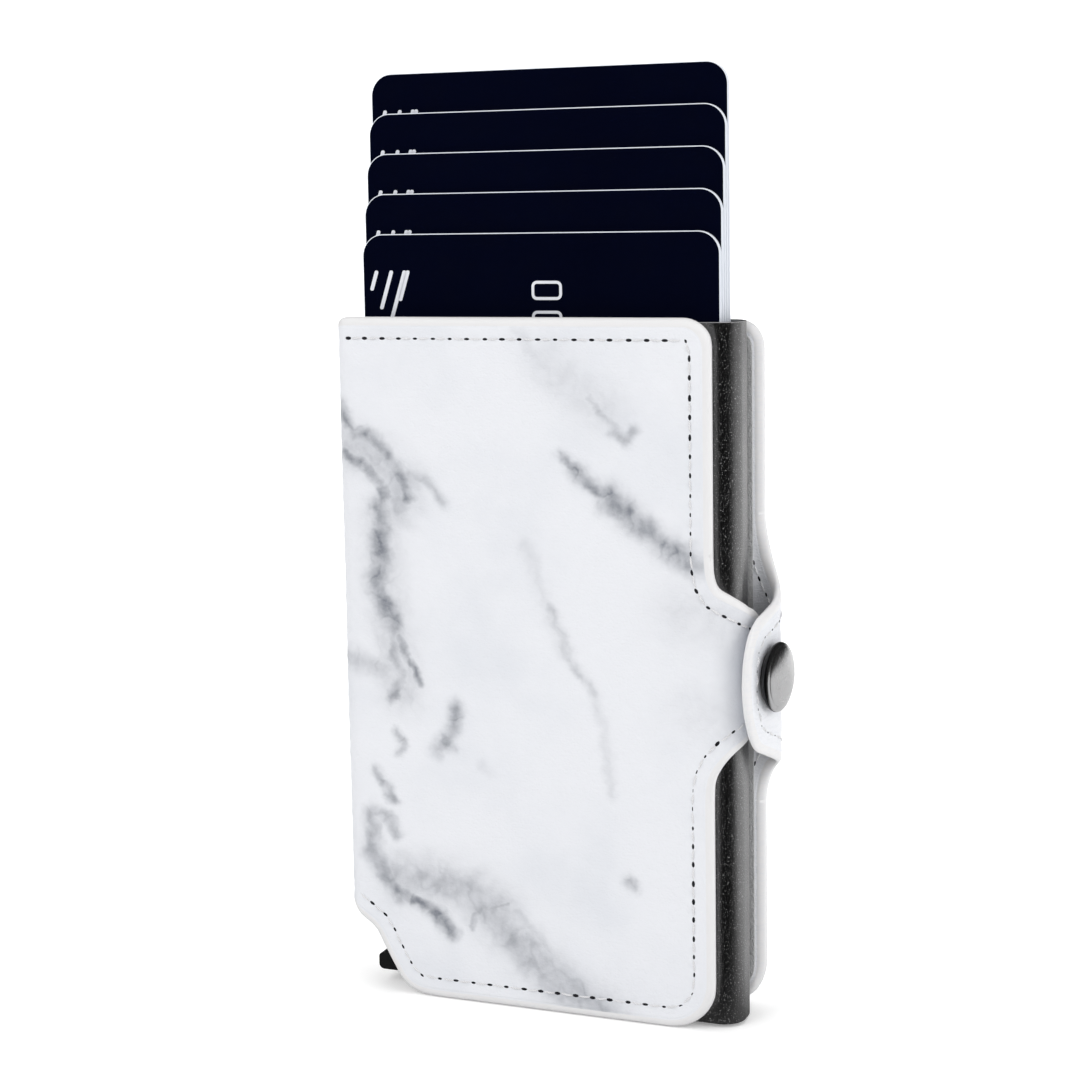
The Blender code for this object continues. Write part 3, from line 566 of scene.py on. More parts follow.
def makePiece(name, points, faces, looks, lookOf=None, places=None, smoothShade=True):
    mesh = bpy.data.meshes.new(name)
    mesh.from_pydata(points, [], faces)
    for look in looks:
        mesh.materials.append(look)
    if lookOf:
        mesh.polygons.foreach_set("material_index", lookOf)
    if places:
        attribute = mesh.attributes.new("flatPlace", "FLOAT_VECTOR", "POINT")
        attribute.data.foreach_set("vector", [value for place in places for value in place])
    if smoothShade:
        mesh.shade_smooth()
    mesh.update()
    made = bpy.data.objects.new(name, mesh)
    bpy.context.scene.collection.objects.link(made)
    return made


def turnFacesOut(made):
    form = bmesh.new()
    form.from_mesh(made.data)
    bmesh.ops.recalc_face_normals(form, faces=form.faces)
    form.to_mesh(made.data)
    form.free()


def arcPoints(centre, radius, first, last, steps=24):  # plan-view arc, angles in degrees from +X
    points = []
    for step in range(steps + 1):
        angle = math.radians(first + (last - first) * step / steps)
        points.append((centre[0] + radius * math.cos(angle), centre[1] + radius * math.sin(angle)))
    return points


class LeatherPath:  # a sheet's outer face in plan, unrolled so that the flat part keeps its own X
    def __init__(self, points, flatPoint, outward):
        self.points = [Vector(point) for point in points]
        self.outward = outward
        self.lengths = [0.0]
        for a, b in zip(self.points, self.points[1:]):
            self.lengths.append(self.lengths[-1] + (b - a).length)
        nearest = min(range(len(self.points)), key=lambda i: (self.points[i] - Vector(flatPoint)).length)
        self.start = self.points[nearest].x - self.lengths[nearest]
        self.end = self.start + self.lengths[-1]

    def at(self, along):
        place = min(max(along - self.start, 0.0), self.lengths[-1])
        low, high = 0, len(self.lengths) - 1
        while high - low > 1:
            middle = (low + high) // 2
            if self.lengths[middle] <= place:
                low = middle
            else:
                high = middle
        share = (place - self.lengths[low]) / max(self.lengths[high] - self.lengths[low], 1e-9)
        point = self.points[low].lerp(self.points[high], share)
        before = self.tangent(low)
        after = self.tangent(high)
        tangent = before.lerp(after, share).normalized()
        return point, Vector((tangent.y, -tangent.x)) * self.outward

    def tangent(self, i):
        a = self.points[max(i - 1, 0)]
        b = self.points[min(i + 1, len(self.points) - 1)]
        return (b - a).normalized()

    def place(self, along, up, depth):  # depth goes in from the outer face
        point, normal = self.at(along)
        spot = point - normal * depth
        return toFrame(spot.x, spot.y, up)


def roundedLine(corners, steps=10):  # closed outline from (x, z, radius) corners
    points = []
    for i, (x, z, radius) in enumerate(corners):
        here = Vector((x, z))
        if radius == 0:
            points.append(here)
            continue
        back = (Vector(corners[i - 1][:2]) - here).normalized()
        onward = (Vector(corners[(i + 1) % len(corners)][:2]) - here).normalized()
        half = back.angle(onward) / 2
        centre = here + (back + onward).normalized() * radius / math.sin(half)
        first = here + back * radius / math.tan(half) - centre
        sweep = math.pi - 2 * half
        if back.cross(onward) > 0:
            sweep = -sweep
        for step in range(steps + 1):
            points.append(centre + Matrix.Rotation(sweep * step / steps, 2) @ first)
    return points


def softLine(points, steps=8):  # a smooth curve through points
    points = [Vector(point) for point in points]
    line = []
    for i in range(len(points) - 1):
        a, b = points[max(i - 1, 0)], points[i]
        c, d = points[i + 1], points[min(i + 2, len(points) - 1)]
        for step in range(steps):
            t = step / steps
            line.append(
                0.5 * (2 * b + (c - a) * t + (2 * a - 5 * b + 4 * c - d) * t * t
                       + (3 * b - a - 3 * c + d) * t ** 3)
            )
    return line + [points[-1]]


def walkLine(points, spacing, closed=True):  # evenly spaced points on a line
    ring = list(points) + ([points[0]] if closed else [])
    total = sum((b - a).length for a, b in zip(ring, ring[1:]))
    count = max(3, round(total / spacing))
    result, done, target = [], 0.0, 0.0
    step = total / count
    for a, b in zip(ring, ring[1:]):
        length = (b - a).length
        while length > 0 and target <= done + length + 1e-9 and len(result) < count + (0 if closed else 1):
            result.append(a.lerp(b, (target - done) / length))
            target += step
        done += length
    return result


def inwardNormals(points):
    area = sum(a.cross(b) for a, b in zip(points, points[1:] + points[:1]))
    side = 1 if area > 0 else -1
    normals = []
    for i in range(len(points)):
        tangent = (points[(i + 1) % len(points)] - points[i - 1]).normalized()
        normals.append(Vector((-tangent.y, tangent.x)) * side)
    return normals


class EdgeFinder:  # distance from any point to an outline
    def __init__(self, outline):
        self.points = walkLine(outline, 0.1)
        self.tree = kdtree.KDTree(len(self.points))
        for i, point in enumerate(self.points):
            self.tree.insert((point.x, point.y, 0), i)
        self.tree.balance()

    def distance(self, point):
        return self.tree.find((point.x, point.y, 0))[2]

    def inside(self, point):
        hits = 0
        for a, b in zip(self.points, self.points[1:] + self.points[:1]):
            if (a.y > point.y) != (b.y > point.y):
                if point.x < a.x + (point.y - a.y) * (b.x - a.x) / (b.y - a.y):
                    hits += 1
        return hits % 2 == 1


def leatherSheet(spec, path, outline, looks, keeps=None, cuts=()):
    # A closed sheet with a rounded painted edge. keeps picks the faces of each named piece.
    finder = EdgeFinder(outline)
    rim = spec["rim"]
    edge = walkLine(outline, spec["edgeStep"])
    cuts = [[Vector(point) for point in cut] for cut in cuts]
    for cut in cuts:  # each cut ends on a point of the edge
        for end in (0, -1):
            nearest = min(range(len(edge)), key=lambda i: (edge[i] - cut[end]).length)
            edge[nearest].y = cut[end].y
            cut[end] = edge[nearest].copy()
    normals = inwardNormals(edge)
    flat, inset = list(edge), [0.0] * len(edge)
    insets = [rim * share for share in (0.04, 0.14, 0.3, 0.5, 0.75, 1.0)] + list(spec.get("rings", ()))
    for depth in insets:
        for i in range(0, len(edge), 1 if depth <= rim else 2):
            point = edge[i] + normals[i] * depth
            if finder.distance(point) > depth * 0.985 - 0.02:
                flat.append(point)
                inset.append(depth)
    deepest = insets[-1]
    lows = [min(point[i] for point in edge) for i in range(2)]
    highs = [max(point[i] for point in edge) for i in range(2)]
    spacing = spec["gridStep"]
    row = 0
    z = lows[1] + spacing
    while z < highs[1]:
        x = lows[0] + spacing * (0.5 if row % 2 else 1.0)
        while x < highs[0]:
            point = Vector((x, z))
            if finder.distance(point) > deepest + spacing * 0.45 and finder.inside(point):
                flat.append(point)
                inset.append(None)
            x += spacing
        row += 1
        z += spacing * 0.87
    edges = []
    for cut in cuts:
        line = walkLine(cut, 0.12, closed=False)
        first = len(flat)
        flat += line
        inset += [None] * len(line)
        edges += [(first + i, first + i + 1) for i in range(len(line) - 1)]
    outer = list(range(len(edge)))
    done = geometry.delaunay_2d_cdt(flat, edges, [outer], 1, 1e-5)
    points, triangles, sources = done[0], done[2], done[3]
    depths, places = [], []
    for point, source in zip(points, sources):
        known = [inset[i] for i in source if i < len(inset) and inset[i] is not None]
        away = min(known) if known else finder.distance(point)
        depths.append(away)
    onEdge = [away < 1e-6 for away in depths]
    outerPoints, innerPoints, innerIndex = [], [], {}
    for i, (point, away) in enumerate(zip(points, depths)):
        thick = spec["thickness"](point.x)
        share = min(away / rim, 1.0)
        roundness = math.sqrt(max(0.0, 1 - (1 - share) ** 2))
        dip = spec.get("stitchDip", 0) * math.exp(-(((away - spec.get("stitchInset", 0)) / 0.55) ** 2))
        wave = spec.get("wave", 0) * noise.noise(Vector((point.x * 0.05, point.y * 0.05, 3.1))) * min(1.0,
            away / 6)
        middle = spec["depth"] + thick / 2
        outerPoints.append(path.place(point.x, point.y, middle - thick / 2 * roundness + dip + wave))
        if not onEdge[i]:
            innerIndex[i] = len(points) + len(innerPoints)
            innerPoints.append(path.place(point.x, point.y, middle + thick / 2 * roundness))
            places.append((point.x + 90, point.y, away))
    allPoints = outerPoints + innerPoints
    allPlaces = [(point.x, point.y, away) for point, away in zip(points, depths)] + places
    pieces = {}
    for name, keep in (keeps or {spec["name"]: lambda x, z: True}).items():
        used, faces, lookOf = {}, [], []
        for triangle in triangles:
            centre = sum((points[i] for i in triangle), Vector((0, 0))) / 3
            if not keep(centre.x, centre.y):
                continue
            area = (points[triangle[1]] - points[triangle[0]]).cross(
                points[triangle[2]] - points[triangle[0]])
            if abs(area) < 1e-7:
                continue
            corners = tuple(triangle) if (area > 0) == (path.outward > 0) else tuple(reversed(triangle))
            faces.append(corners)
            faces.append(tuple(innerIndex.get(i, i) for i in reversed(corners)))
            lookOf += [zoneOf(centre.x, centre.y), len(looks) - 1] if len(looks) > 1 else [0, 0]
        for face in faces:
            for i in face:
                used.setdefault(i, len(used))
        order = sorted(used, key=used.get)
        made = makePiece(
            name, [allPoints[i] for i in order], [tuple(used[i] for i in face) for face in faces], looks,
            lookOf,
            places=[allPlaces[i] for i in order],
        )
        closeCut(made)
        pieces[name] = made
    return pieces


def closeCut(made):  # walls across the line where one sheet is parted from another
    form = bmesh.new()
    form.from_mesh(made.data)
    rim = [edge for edge in form.edges if len(edge.link_faces) == 1]
    if rim:
        bmesh.ops.holes_fill(form, edges=rim, sides=0)
    bmesh.ops.recalc_face_normals(form, faces=form.faces)
    form.to_mesh(made.data)
    form.free()
    made.data.set_sharp_from_angle(angle=math.radians(60))


closureLean = 8
tabBend = (25.8, 5.7)
coverTop = nodeBox("front_panel")[1].z
backTop = nodeBox("back_panel")[1].z
frontRight = nodeBox("front_panel")[1].x
spineLeft = nodeBox("spine")[0].x
leanAlong = Vector((math.sin(math.radians(closureLean)), math.cos(math.radians(closureLean))))
leanOut = Vector((leanAlong.y, -leanAlong.x))

foldRadius = 2.6
spineMiddle = backFace / 2


def frontPath():
    points = [(spineLeft, spineMiddle), (spineLeft, foldRadius)]
    points += arcPoints((spineLeft + foldRadius, foldRadius), foldRadius, 180, 270)
    points += [(x, 0.0) for x in (-20, -10, 0, 10, 20)]
    for step in range(31):  # round the case's corner, thinning as it goes
        angle = 90 - (90 - closureLean) * step / 30
        thick = 2.2 if angle > 86 else 1.1 + 1.1 * (angle - closureLean) / (86 - closureLean)
        radius = 3.5 + thick
        points.append((tabBend[0] + radius * math.cos(math.radians(angle)),
            tabBend[1] - radius * math.sin(math.radians(angle))))
    last = Vector(points[-1])
    points += [tuple(last + leanAlong * run) for run in (1.5, 3, 4.5, 6.5)]
    return LeatherPath(points, (0, 0), 1)


strapBend = (28.43, 9.3)
strapRadius = 4.8


def backPath():
    points = [(spineLeft, spineMiddle), (spineLeft, backFace - foldRadius)]
    points += arcPoints((spineLeft + foldRadius, backFace - foldRadius), foldRadius, 180, 90)
    points += [(x, backFace) for x in (-20, -10, 0, 10, 20)]
    points += arcPoints(strapBend, strapRadius, 90, -closureLean, 30)
    start = Vector(points[-1])
    for step in range(1, 14):
        run = 10.8 * step / 13
        curl = max(0.0, run - 8.6) ** 2 / 8
        points.append(tuple(start - leanAlong * run - leanOut * curl))
    return LeatherPath(points, (0, backFace), -1)


frontWay = frontPath()
backWay = backPath()


def footCorner(left, foot):  # the soft S of the cut-away lower left corner, going down
    return softLine(
        [(left, foot), (-33.2, foot - 0.1), (-31.2, foot - 0.9), (-29.6, 11.5), (-28, 10.5), (-26.6, 9.3),
            (-25.3, 6.9),
         (-23.7, 4.0), (-22.6, 2.2), (-21.2, 0.95), (-19.4, 0.25), (-16.9, 0.0)]
    )


def frontOutline():
    down = footCorner(frontWay.start, 13.5)
    lower = roundedLine([(-14, 0, 0), (frontRight, 0, 7.0), (frontRight, 30, 0)])
    closureLow = softLine(
        [(frontRight, 32.2), (frontRight + 0.05, 34.2), (frontRight + 0.35, 36.3), (27.6, 38.2),
            (29.2, 39.8), (31.2, 40.95),
         (33.2, 41.8), (35.2, 42.7), (37.0, 44.4), (38.2, 47.2), (38.6, closureZ)]
    )
    closureHigh = softLine(
        [(38.6, closureZ), (38.2, 55), (37.0, 57.9), (35.1, 59.5), (33, 60.4), (31, 61.4), (29.1, 62.4),
            (27.2, 63.5),
         (frontRight + 0.25, 65.3), (frontRight + 0.02, 67.3), (frontRight, 69.2)]
    )
    upper = roundedLine([(frontRight, 80, 0), (frontRight, coverTop, 4.2), (-24, coverTop, 0)])
    left = softLine([(-27, coverTop), (-29.5, coverTop - 0.05), (-31.5, coverTop - 0.35),
        (frontWay.start, backTop)])
    return down + lower + closureLow[:-1] + closureHigh + upper + left


def backOutline():
    down = footCorner(backWay.start, 13.5)
    right = 30.4
    lower = roundedLine([(-14, 0, 0), (right, 0, 7.0), (right, 24, 0)])
    strapLow = softLine(
        [(right, 30), (right + 0.05, 31.5), (right + 0.6, 33.6), (32.2, 35.6), (34.4, 37.0), (36.8, 38.0),
            (40, 39.3), (43.4, 40.8),
         (45.4, 43.3), (46.7, 46.5), (47.1, closureZ - 0.4)]
    )
    strapHigh = softLine(
        [(47.1, closureZ - 0.4), (46.7, 54), (45.2, 57.1), (42.6, 59), (39.5, 59.9), (36.8, 60.8),
            (34.2, 62.8), (32.2, 65.4),
         (right + 0.7, 68.2), (right + 0.08, 71), (right, 73)]
    )
    upper = roundedLine([(right, 80, 0), (right, backTop, 4.2), (-24, backTop, 0)])
    left = [Vector((-28, backTop)), Vector((backWay.start, backTop))]
    return down + lower + strapLow[:-1] + strapHigh + upper + left


tabCut = {"x": 25.7, "low": 33.6, "high": 68.2}
strapCut = {"x": 27.6, "low": 30.8, "high": 72.2}


def inTab(x, z):
    return x > tabCut["x"] and tabCut["low"] < z < tabCut["high"]


def inStrap(x, z):
    return x > strapCut["x"] and strapCut["low"] < z < strapCut["high"]


def cutLine(cut, right):
    return [(right, cut["high"]), (cut["x"], cut["high"]), (cut["x"], cut["low"]), (right, cut["low"])]


def frontThickness(along):
    bent = min(max((along - 26) / 8, 0.0), 1.0)
    spine = min(max((-28 - along) / 2.5, 0.0), 1.0)
    return 2.05 - 0.95 * bent - 0.5 * spine


def backThickness(along):
    bent = min(max((along - 28) / 6, 0.0), 1.0)
    spine = min(max((-28 - along) / 2.5, 0.0), 1.0)
    return 2.2 - 1.0 * bent - 0.65 * spine


frontSheet = {
    "name": "coverFront", "rim": 1.05, "edgeStep": 0.55, "gridStep": 1.7, "depth": 0.0,
    "thickness": frontThickness,
    "rings": (1.7, 2.3, 2.7, 3.1, 3.5, 4.2), "stitchDip": 0.07, "stitchInset": 3.1, "wave": 0.14,
}
backSheet = {
    "name": "coverBack", "rim": 1.1, "edgeStep": 0.55, "gridStep": 1.7, "depth": 0.0,
    "thickness": backThickness,
    "rings": (1.7, 2.3, 2.7, 3.1, 3.5, 4.2), "stitchDip": 0.07, "stitchInset": 3.1, "wave": 0.1,
}
frontLine = frontOutline()
backLine = backOutline()
front = leatherSheet(
    frontSheet, frontWay, frontLine, frontMarble,
    {"coverFront": lambda x, z: not inTab(x, z), "closingTab": inTab}, [cutLine(tabCut, frontRight)],
)
back = leatherSheet(
    backSheet, backWay, backLine, backMarble,
    {"coverBack": lambda x, z: not inStrap(x, z), "closingStrap": inStrap}, [cutLine(strapCut, 30.4)],
)
print("leather sheets made")


def insetLine(outline, depth, spacing=0.5):  # the outline moved inwards, without its loops
    finder = EdgeFinder(outline)
    edge = walkLine(outline, 0.25)
    moved = []
    for point, normal in zip(edge, inwardNormals(edge)):
        place = point + normal * depth
        if finder.distance(place) > depth * 0.97:
            moved.append(place)
    return walkLine(moved, spacing)


def straightCover(right, top):  # a lining's outline before it is moved in
    return (
        softLine([(-27.9, 12.0), (-27.6, 10.4), (-26.6, 9.3), (-25.3, 6.9), (-23.7, 4.0), (-22.6, 2.2),
            (-21.2, 0.95), (-19.4, 0.25), (-16.9, 0)])
        + roundedLine([(-14, 0, 0), (right, 0, 7.0), (right, top, 4.2), (-27.9, top, 0.4)])
    )


linings = {
    "liningFront": {"way": frontWay, "right": frontRight, "top": coverTop, "depth": 1.95, "inset": 1.45},
    "liningBack": {"way": backWay, "right": 30.1, "top": backTop, "depth": 2.1, "inset": 1.35},
}
linedPieces, liningLines = {}, {}
for name, plan in linings.items():
    line = insetLine(straightCover(plan["right"], plan["top"]), plan["inset"])
    liningLines[name] = line
    spec = {
        "name": name, "rim": 0.12, "edgeStep": 0.7, "gridStep": 2.2, "depth": plan["depth"],
        "thickness": lambda along: 0.3,
        "rings": (1.0, 1.7, 2.4),
    }
    linedPieces.update(leatherSheet(spec, plan["way"], line, [liningLeather]))

pocketLow, pocketHigh = nodeBox("back_pocket")
pocketPlan = {"depth": backFace - pocketHigh.y, "thick": pocketHigh.y - pocketLow.y}
pocketLine = roundedLine(
    [(-18, pocketLow.z, 1), (pocketHigh.x, pocketLow.z, 5), (pocketHigh.x, pocketHigh.z, 1),
        (pocketLow.x, pocketHigh.z, 1), (pocketLow.x, 15, 1)]
)
pocketSpec = {
    "name": "backPocket", "rim": 0.3, "edgeStep": 0.7, "gridStep": 2.4, "depth": pocketPlan["depth"],
    "thickness": lambda along: pocketPlan["thick"], "rings": (1.0, 1.8, 2.6),
}
linedPieces.update(leatherSheet(pocketSpec, backWay, pocketLine, [liningLeather]))

stitch = {"inset": 3.05, "pitch": 2.68, "thread": 1.9, "radius": 0.17, "holeLong": 0.46, "holeWide": 0.25,
    "sides": 6, "rings": 6}


def stitchRun(outline, skip):  # even stitches along an inset line: lists of (start, direction)
    line = insetLine(outline, stitch["inset"], 0.2)
    count = round(sum((b - a).length for a, b in zip(line, line[1:] + line[:1])) / stitch["pitch"])
    evenly = walkLine(line, 0.2)
    perStitch = len(evenly) / count
    runs = []
    for i in range(count):
        first = evenly[int(i * perStitch) % len(evenly)]
        last = evenly[int((i + stitch["thread"] / stitch["pitch"]) * perStitch) % len(evenly)]
        if (last - first).length < stitch["thread"] * 1.4 and not skip((first + last) / 2):
            runs.append((first, last))
    return runs


def sewPiece(name, runs, way, depthAt, outward=1, holeShare=1.0):
    points, faces, looks = [], [], []

    def lay(along, up, lift):
        return way.place(along, up, depthAt(along) - outward * lift)

    for k, (first, last) in enumerate(runs):
        direction = (last - first).normalized()
        side = Vector((-direction.y, direction.x))
        lean = 0.09 * math.sin(k * 1.7)
        base = len(points)
        for ring in range(stitch["rings"] + 1):
            share = ring / stitch["rings"]
            bow = math.sin(halfTurn * share)
            centre = first.lerp(last, share) + side * lean * (share - 0.5) * 2
            for corner in range(stitch["sides"]):
                angle = 2 * halfTurn * corner / stitch["sides"]
                wide = stitch["radius"] * (0.55 + 0.45 * bow)
                spot = centre + side * (wide * math.cos(angle))
                points.append(lay(spot.x, spot.y, -0.12 + 0.2 * bow + wide * math.sin(angle)))
        for ring in range(stitch["rings"]):
            for corner in range(stitch["sides"]):
                a = base + ring * stitch["sides"] + corner
                b = base + ring * stitch["sides"] + (corner + 1) % stitch["sides"]
                faces.append((a, b, b + stitch["sides"], a + stitch["sides"]))
                looks.append(0)
        faces.append(tuple(base + corner for corner in range(stitch["sides"])))
        end = base + stitch["rings"] * stitch["sides"]
        faces.append(tuple(end + corner for corner in reversed(range(stitch["sides"]))))
        looks += [0, 0]
        # The needle's hole past the end of the thread: a low dark lens, painted shade in the hole.
        centre = last + direction * (stitch["pitch"] - stitch["thread"]) * 0.42
        base = len(points)
        long = stitch["holeLong"] * (1 + 0.12 * math.sin(k * 2.9)) * holeShare
        wide = stitch["holeWide"] * holeShare
        for height, size in ((-0.12, 1.05), (0.0, 1.0), (0.03, 0.6)):
            for corner in range(8):
                angle = 2 * halfTurn * corner / 8
                spot = (centre + direction * (long * size * math.cos(angle))
                        + side * (wide * size * math.sin(angle)))
                points.append(lay(spot.x, spot.y, height))
        for level in range(2):
            for corner in range(8):
                a, b = base + level * 8 + corner, base + level * 8 + (corner + 1) % 8
                faces.append((a, b, b + 8, a + 8))
                looks.append(1)
        faces += [tuple(base + corner for corner in range(8)),
            tuple(base + 16 + corner for corner in reversed(range(8)))]
        looks += [1, 1]
    made = makePiece(name, points, faces, [whiteThread, paintedHoleShade], looks)
    turnFacesOut(made)
    return made


def onFold(point):
    return point.x < -29.0


frontRuns = stitchRun(frontLine, onFold)
backRuns = stitchRun(backLine, onFold)
threadDip = 0.07


def onOuterFace(along):
    return threadDip


sewn = {
    "stitchesFront": sewPiece("stitchesFront", [run for run in frontRuns if not inTab(*run[0])], frontWay,
        onOuterFace),
    "stitchesTab": sewPiece("stitchesTab", [run for run in frontRuns if inTab(*run[0])], frontWay,
        onOuterFace, holeShare=0.8),
    "stitchesBack": sewPiece("stitchesBack", [run for run in backRuns if not inStrap(*run[0])], backWay,
        onOuterFace),
    "stitchesStrap": sewPiece("stitchesStrap", [run for run in backRuns if inStrap(*run[0])], backWay,
        onOuterFace, holeShare=0.55),
    "stitchesStrapRoot": sewPiece(
        "stitchesStrapRoot", [run for run in backRuns if inStrap(*run[0]) and run[0].x < 36], backWay,
        backThickness, -1
    ),
}
for name, plan in linings.items():
    line = straightCover(plan["right"], plan["top"])
    runs = stitchRun(line, lambda point: point.x < -26)
    title = "stitches" + name[6:] + "Inside"
    sewn[title] = sewPiece(title, runs, plan["way"], lambda along, deep=plan["depth"] + 0.3: deep, -1)
print("stitches made")

snap = {"segments": 72, "domeSteps": 14}


def lathe(name, profile, centre, axis, looks, lookOf=None):  # profile points are (radius, height) in mm
    side = axis.orthogonal().normalized()
    other = axis.cross(side)
    points, faces, indices = [], [], []
    for radius, height in profile:
        for i in range(snap["segments"]):
            angle = 2 * halfTurn * i / snap["segments"]
            offset = side * (radius * math.cos(angle)) + other * (radius * math.sin(angle)) + axis * height
            points.append(centre + offset * millimetre)
    for ring in range(len(profile) - 1):
        for i in range(snap["segments"]):
            j = (i + 1) % snap["segments"]
            a = ring * snap["segments"]
            b = a + snap["segments"]
            faces.append((a + i, a + j, b + j, b + i))
            indices.append(lookOf[ring] if lookOf else 0)
    faces.append(tuple(reversed(range(snap["segments"]))))
    last = (len(profile) - 1) * snap["segments"]
    faces.append(tuple(last + i for i in range(snap["segments"])))
    indices += [indices[0], indices[-1]]
    return makePiece(name, points, faces, looks, indices)


def nodeCentre(node):
    low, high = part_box(node)
    return (low + high) / 2


outDirection = Vector((leanOut.x, leanOut.y, 0))
capCentre = nodeCentre("snap_cap")
capHeight = 2.4
capRim = 1.62
capProfile = [(3.9, 0.0), (4.0, 0.1), (4.2, 0.32), (4.6, 0.56), (4.82, 0.78), (4.9, 1.02), (4.86, 1.26),
    (4.72, 1.44), (4.5, 1.56), (4.28, capRim)]
for step in range(1, snap["domeSteps"] + 1):
    angle = halfTurn / 2 * step / snap["domeSteps"]
    radius = 4.28 * math.cos(angle) if step < snap["domeSteps"] else 0.05
    capProfile.append((radius, capRim + (capHeight - capRim) * math.sin(angle) ** 1.5))
# The lower rings, up to just past the cap's widest point, take the near-black snap metal: painted shade
# under the cap's rim.
capLooks = [1] * 6 + [0] * (len(capProfile) - 7)
capFoot = capCentre - outDirection * (capHeight / 2 * millimetre)
snapCap = lathe("snapCap", capProfile, capFoot, outDirection, [gunmetal, darkSnap], capLooks)

studProfile = [(3.6, 0.0), (3.9, 0.03), (4.0, 0.14), (4.0, 0.42), (3.92, 0.54), (3.75, 0.6), (3.2, 0.6),
    (3.05, 0.53), (2.0, 0.53),
               (1.3, 0.58), (1.1, 0.7), (1.1, 1.0), (1.0, 1.08), (0.7, 1.1), (0.05, 1.1)]
studFoot = nodeCentre("snap_stud") - outDirection * (1.1 / 2 * millimetre)
snapStud = lathe("snapStud", studProfile, studFoot, outDirection, [darkSnap])


def softened(node, name, width, looks, pick=None, segments=3, angle=35):
    # A copy of a CAD solid with its edges rounded a little.
    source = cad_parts[node]
    form = bmesh.new()
    form.from_mesh(source.data)
    bmesh.ops.remove_doubles(form, verts=form.verts, dist=1e-6)
    bmesh.ops.dissolve_limit(form, angle_limit=math.radians(1.5), verts=form.verts, edges=form.edges)
    sharp = [edge for edge in form.edges
             if len(edge.link_faces) == 2 and edge.calc_face_angle() > math.radians(angle)]
    bmesh.ops.bevel(
        form, geom=sharp, offset=width * millimetre, segments=segments, profile=0.5, affect="EDGES",
        clamp_overlap=True
    )
    bmesh.ops.recalc_face_normals(form, faces=form.faces)
    mesh = bpy.data.meshes.new(name)
    form.to_mesh(mesh)
    form.free()
    for look in looks:
        mesh.materials.append(look)
    if pick:
        for face in mesh.polygons:
            face.material_index = pick(face.center / millimetre, face.normal)
    mesh.shade_smooth()
    mesh.set_sharp_from_angle(angle=math.radians(30))
    made = bpy.data.objects.new(name, mesh)
    bpy.context.scene.collection.objects.link(made)
    made.modifiers.new("weighted", "WEIGHTED_NORMAL").keep_sharp = True
    return made


caseTop = nodeBox("card_case")[1].z
caseBody = softened(
    "card_case", "caseBody", 0.16, [anodisedCase, brightRim],
    lambda centre, normal: 1 if centre.z > caseTop - 0.25 and 0.2 < normal.z < 0.95 else 0,
)
thumbLever = softened("eject_lever", "thumbLever", 0.3, [leverPlastic])
footPlug = softened("end_plug", "footPlug", 0.2, [plugPlastic])

cards = {"count": 5, "corner": 3.18, "edge": 0.13, "steps": 12, "printLift": 0.012}
motif = {  # plain slanted bars and small rounded tiles
    "bars": ((-26.6, 2.9), (-25.1, 5.6), (-23.6, 7.4), (-22.1, 4.4)),
    "barWidth": 0.62, "barSlant": 0.32, "barFoot": 17.2,
    "tiles": ((1.0, 8.1), (1.0, 12.3)), "tileHalf": (2.3, 1.35), "tileLine": 0.42,
}


def cardPiece(index):
    low, high = nodeBox(f"card_{index}")
    edge = cards["edge"]
    outline = roundedLine(
        [(low.x, low.z, cards["corner"]), (high.x, low.z, cards["corner"]),
            (high.x, high.z, cards["corner"]), (low.x, high.z, cards["corner"])],
        cards["steps"],
    )
    inner = roundedLine(
        [
            (low.x + edge, low.z + edge, cards["corner"] - edge),
            (high.x - edge, low.z + edge, cards["corner"] - edge),
            (high.x - edge, high.z - edge, cards["corner"] - edge),
            (low.x + edge, high.z - edge, cards["corner"] - edge),
        ],
        cards["steps"],
    )
    count = len(outline)
    rings = [(inner, low.y), (outline, low.y + edge * 0.6), (outline, high.y - edge * 0.6), (inner, high.y)]
    points = [toFrame(point.x, y, point.y) for ring, y in rings for point in ring]
    faces, looks = [], []
    for ring in range(3):
        for i in range(count):
            j = (i + 1) % count
            faces.append((ring * count + i, ring * count + j, (ring + 1) * count + j,
                (ring + 1) * count + i))
            looks.append(1)
    faces += [tuple(reversed(range(count))), tuple(3 * count + i for i in range(count))]
    looks += [0, 0]
    made = makePiece(f"bankCard{index}", points, faces, [cardFace, cardCore], looks)
    turnFacesOut(made)
    made.data.set_sharp_from_angle(angle=math.radians(30))
    return made, low, high


# a raised print shape, with a hole if holeLine is given
def thinPlate(points, faces, outline, holeLine, y, thick):
    base = len(points)
    count = len(outline)
    if holeLine is None:
        for level in (y, y - thick):
            points += [toFrame(point.x, level, point.y) for point in outline]
        faces.append(tuple(base + i for i in range(count)))
        faces.append(tuple(base + count + i for i in reversed(range(count))))
        for i in range(count):
            j = (i + 1) % count
            faces.append((base + i, base + j, base + count + j, base + count + i))
        return
    for line, level in ((outline, y), (outline, y - thick), (holeLine, y - thick), (holeLine, y)):
        points += [toFrame(point.x, level, point.y) for point in line]
    for ring in range(4):
        after = (ring + 1) % 4
        for i in range(count):
            j = (i + 1) % count
            faces.append((base + ring * count + i, base + ring * count + j, base + after * count + j,
                base + after * count + i))


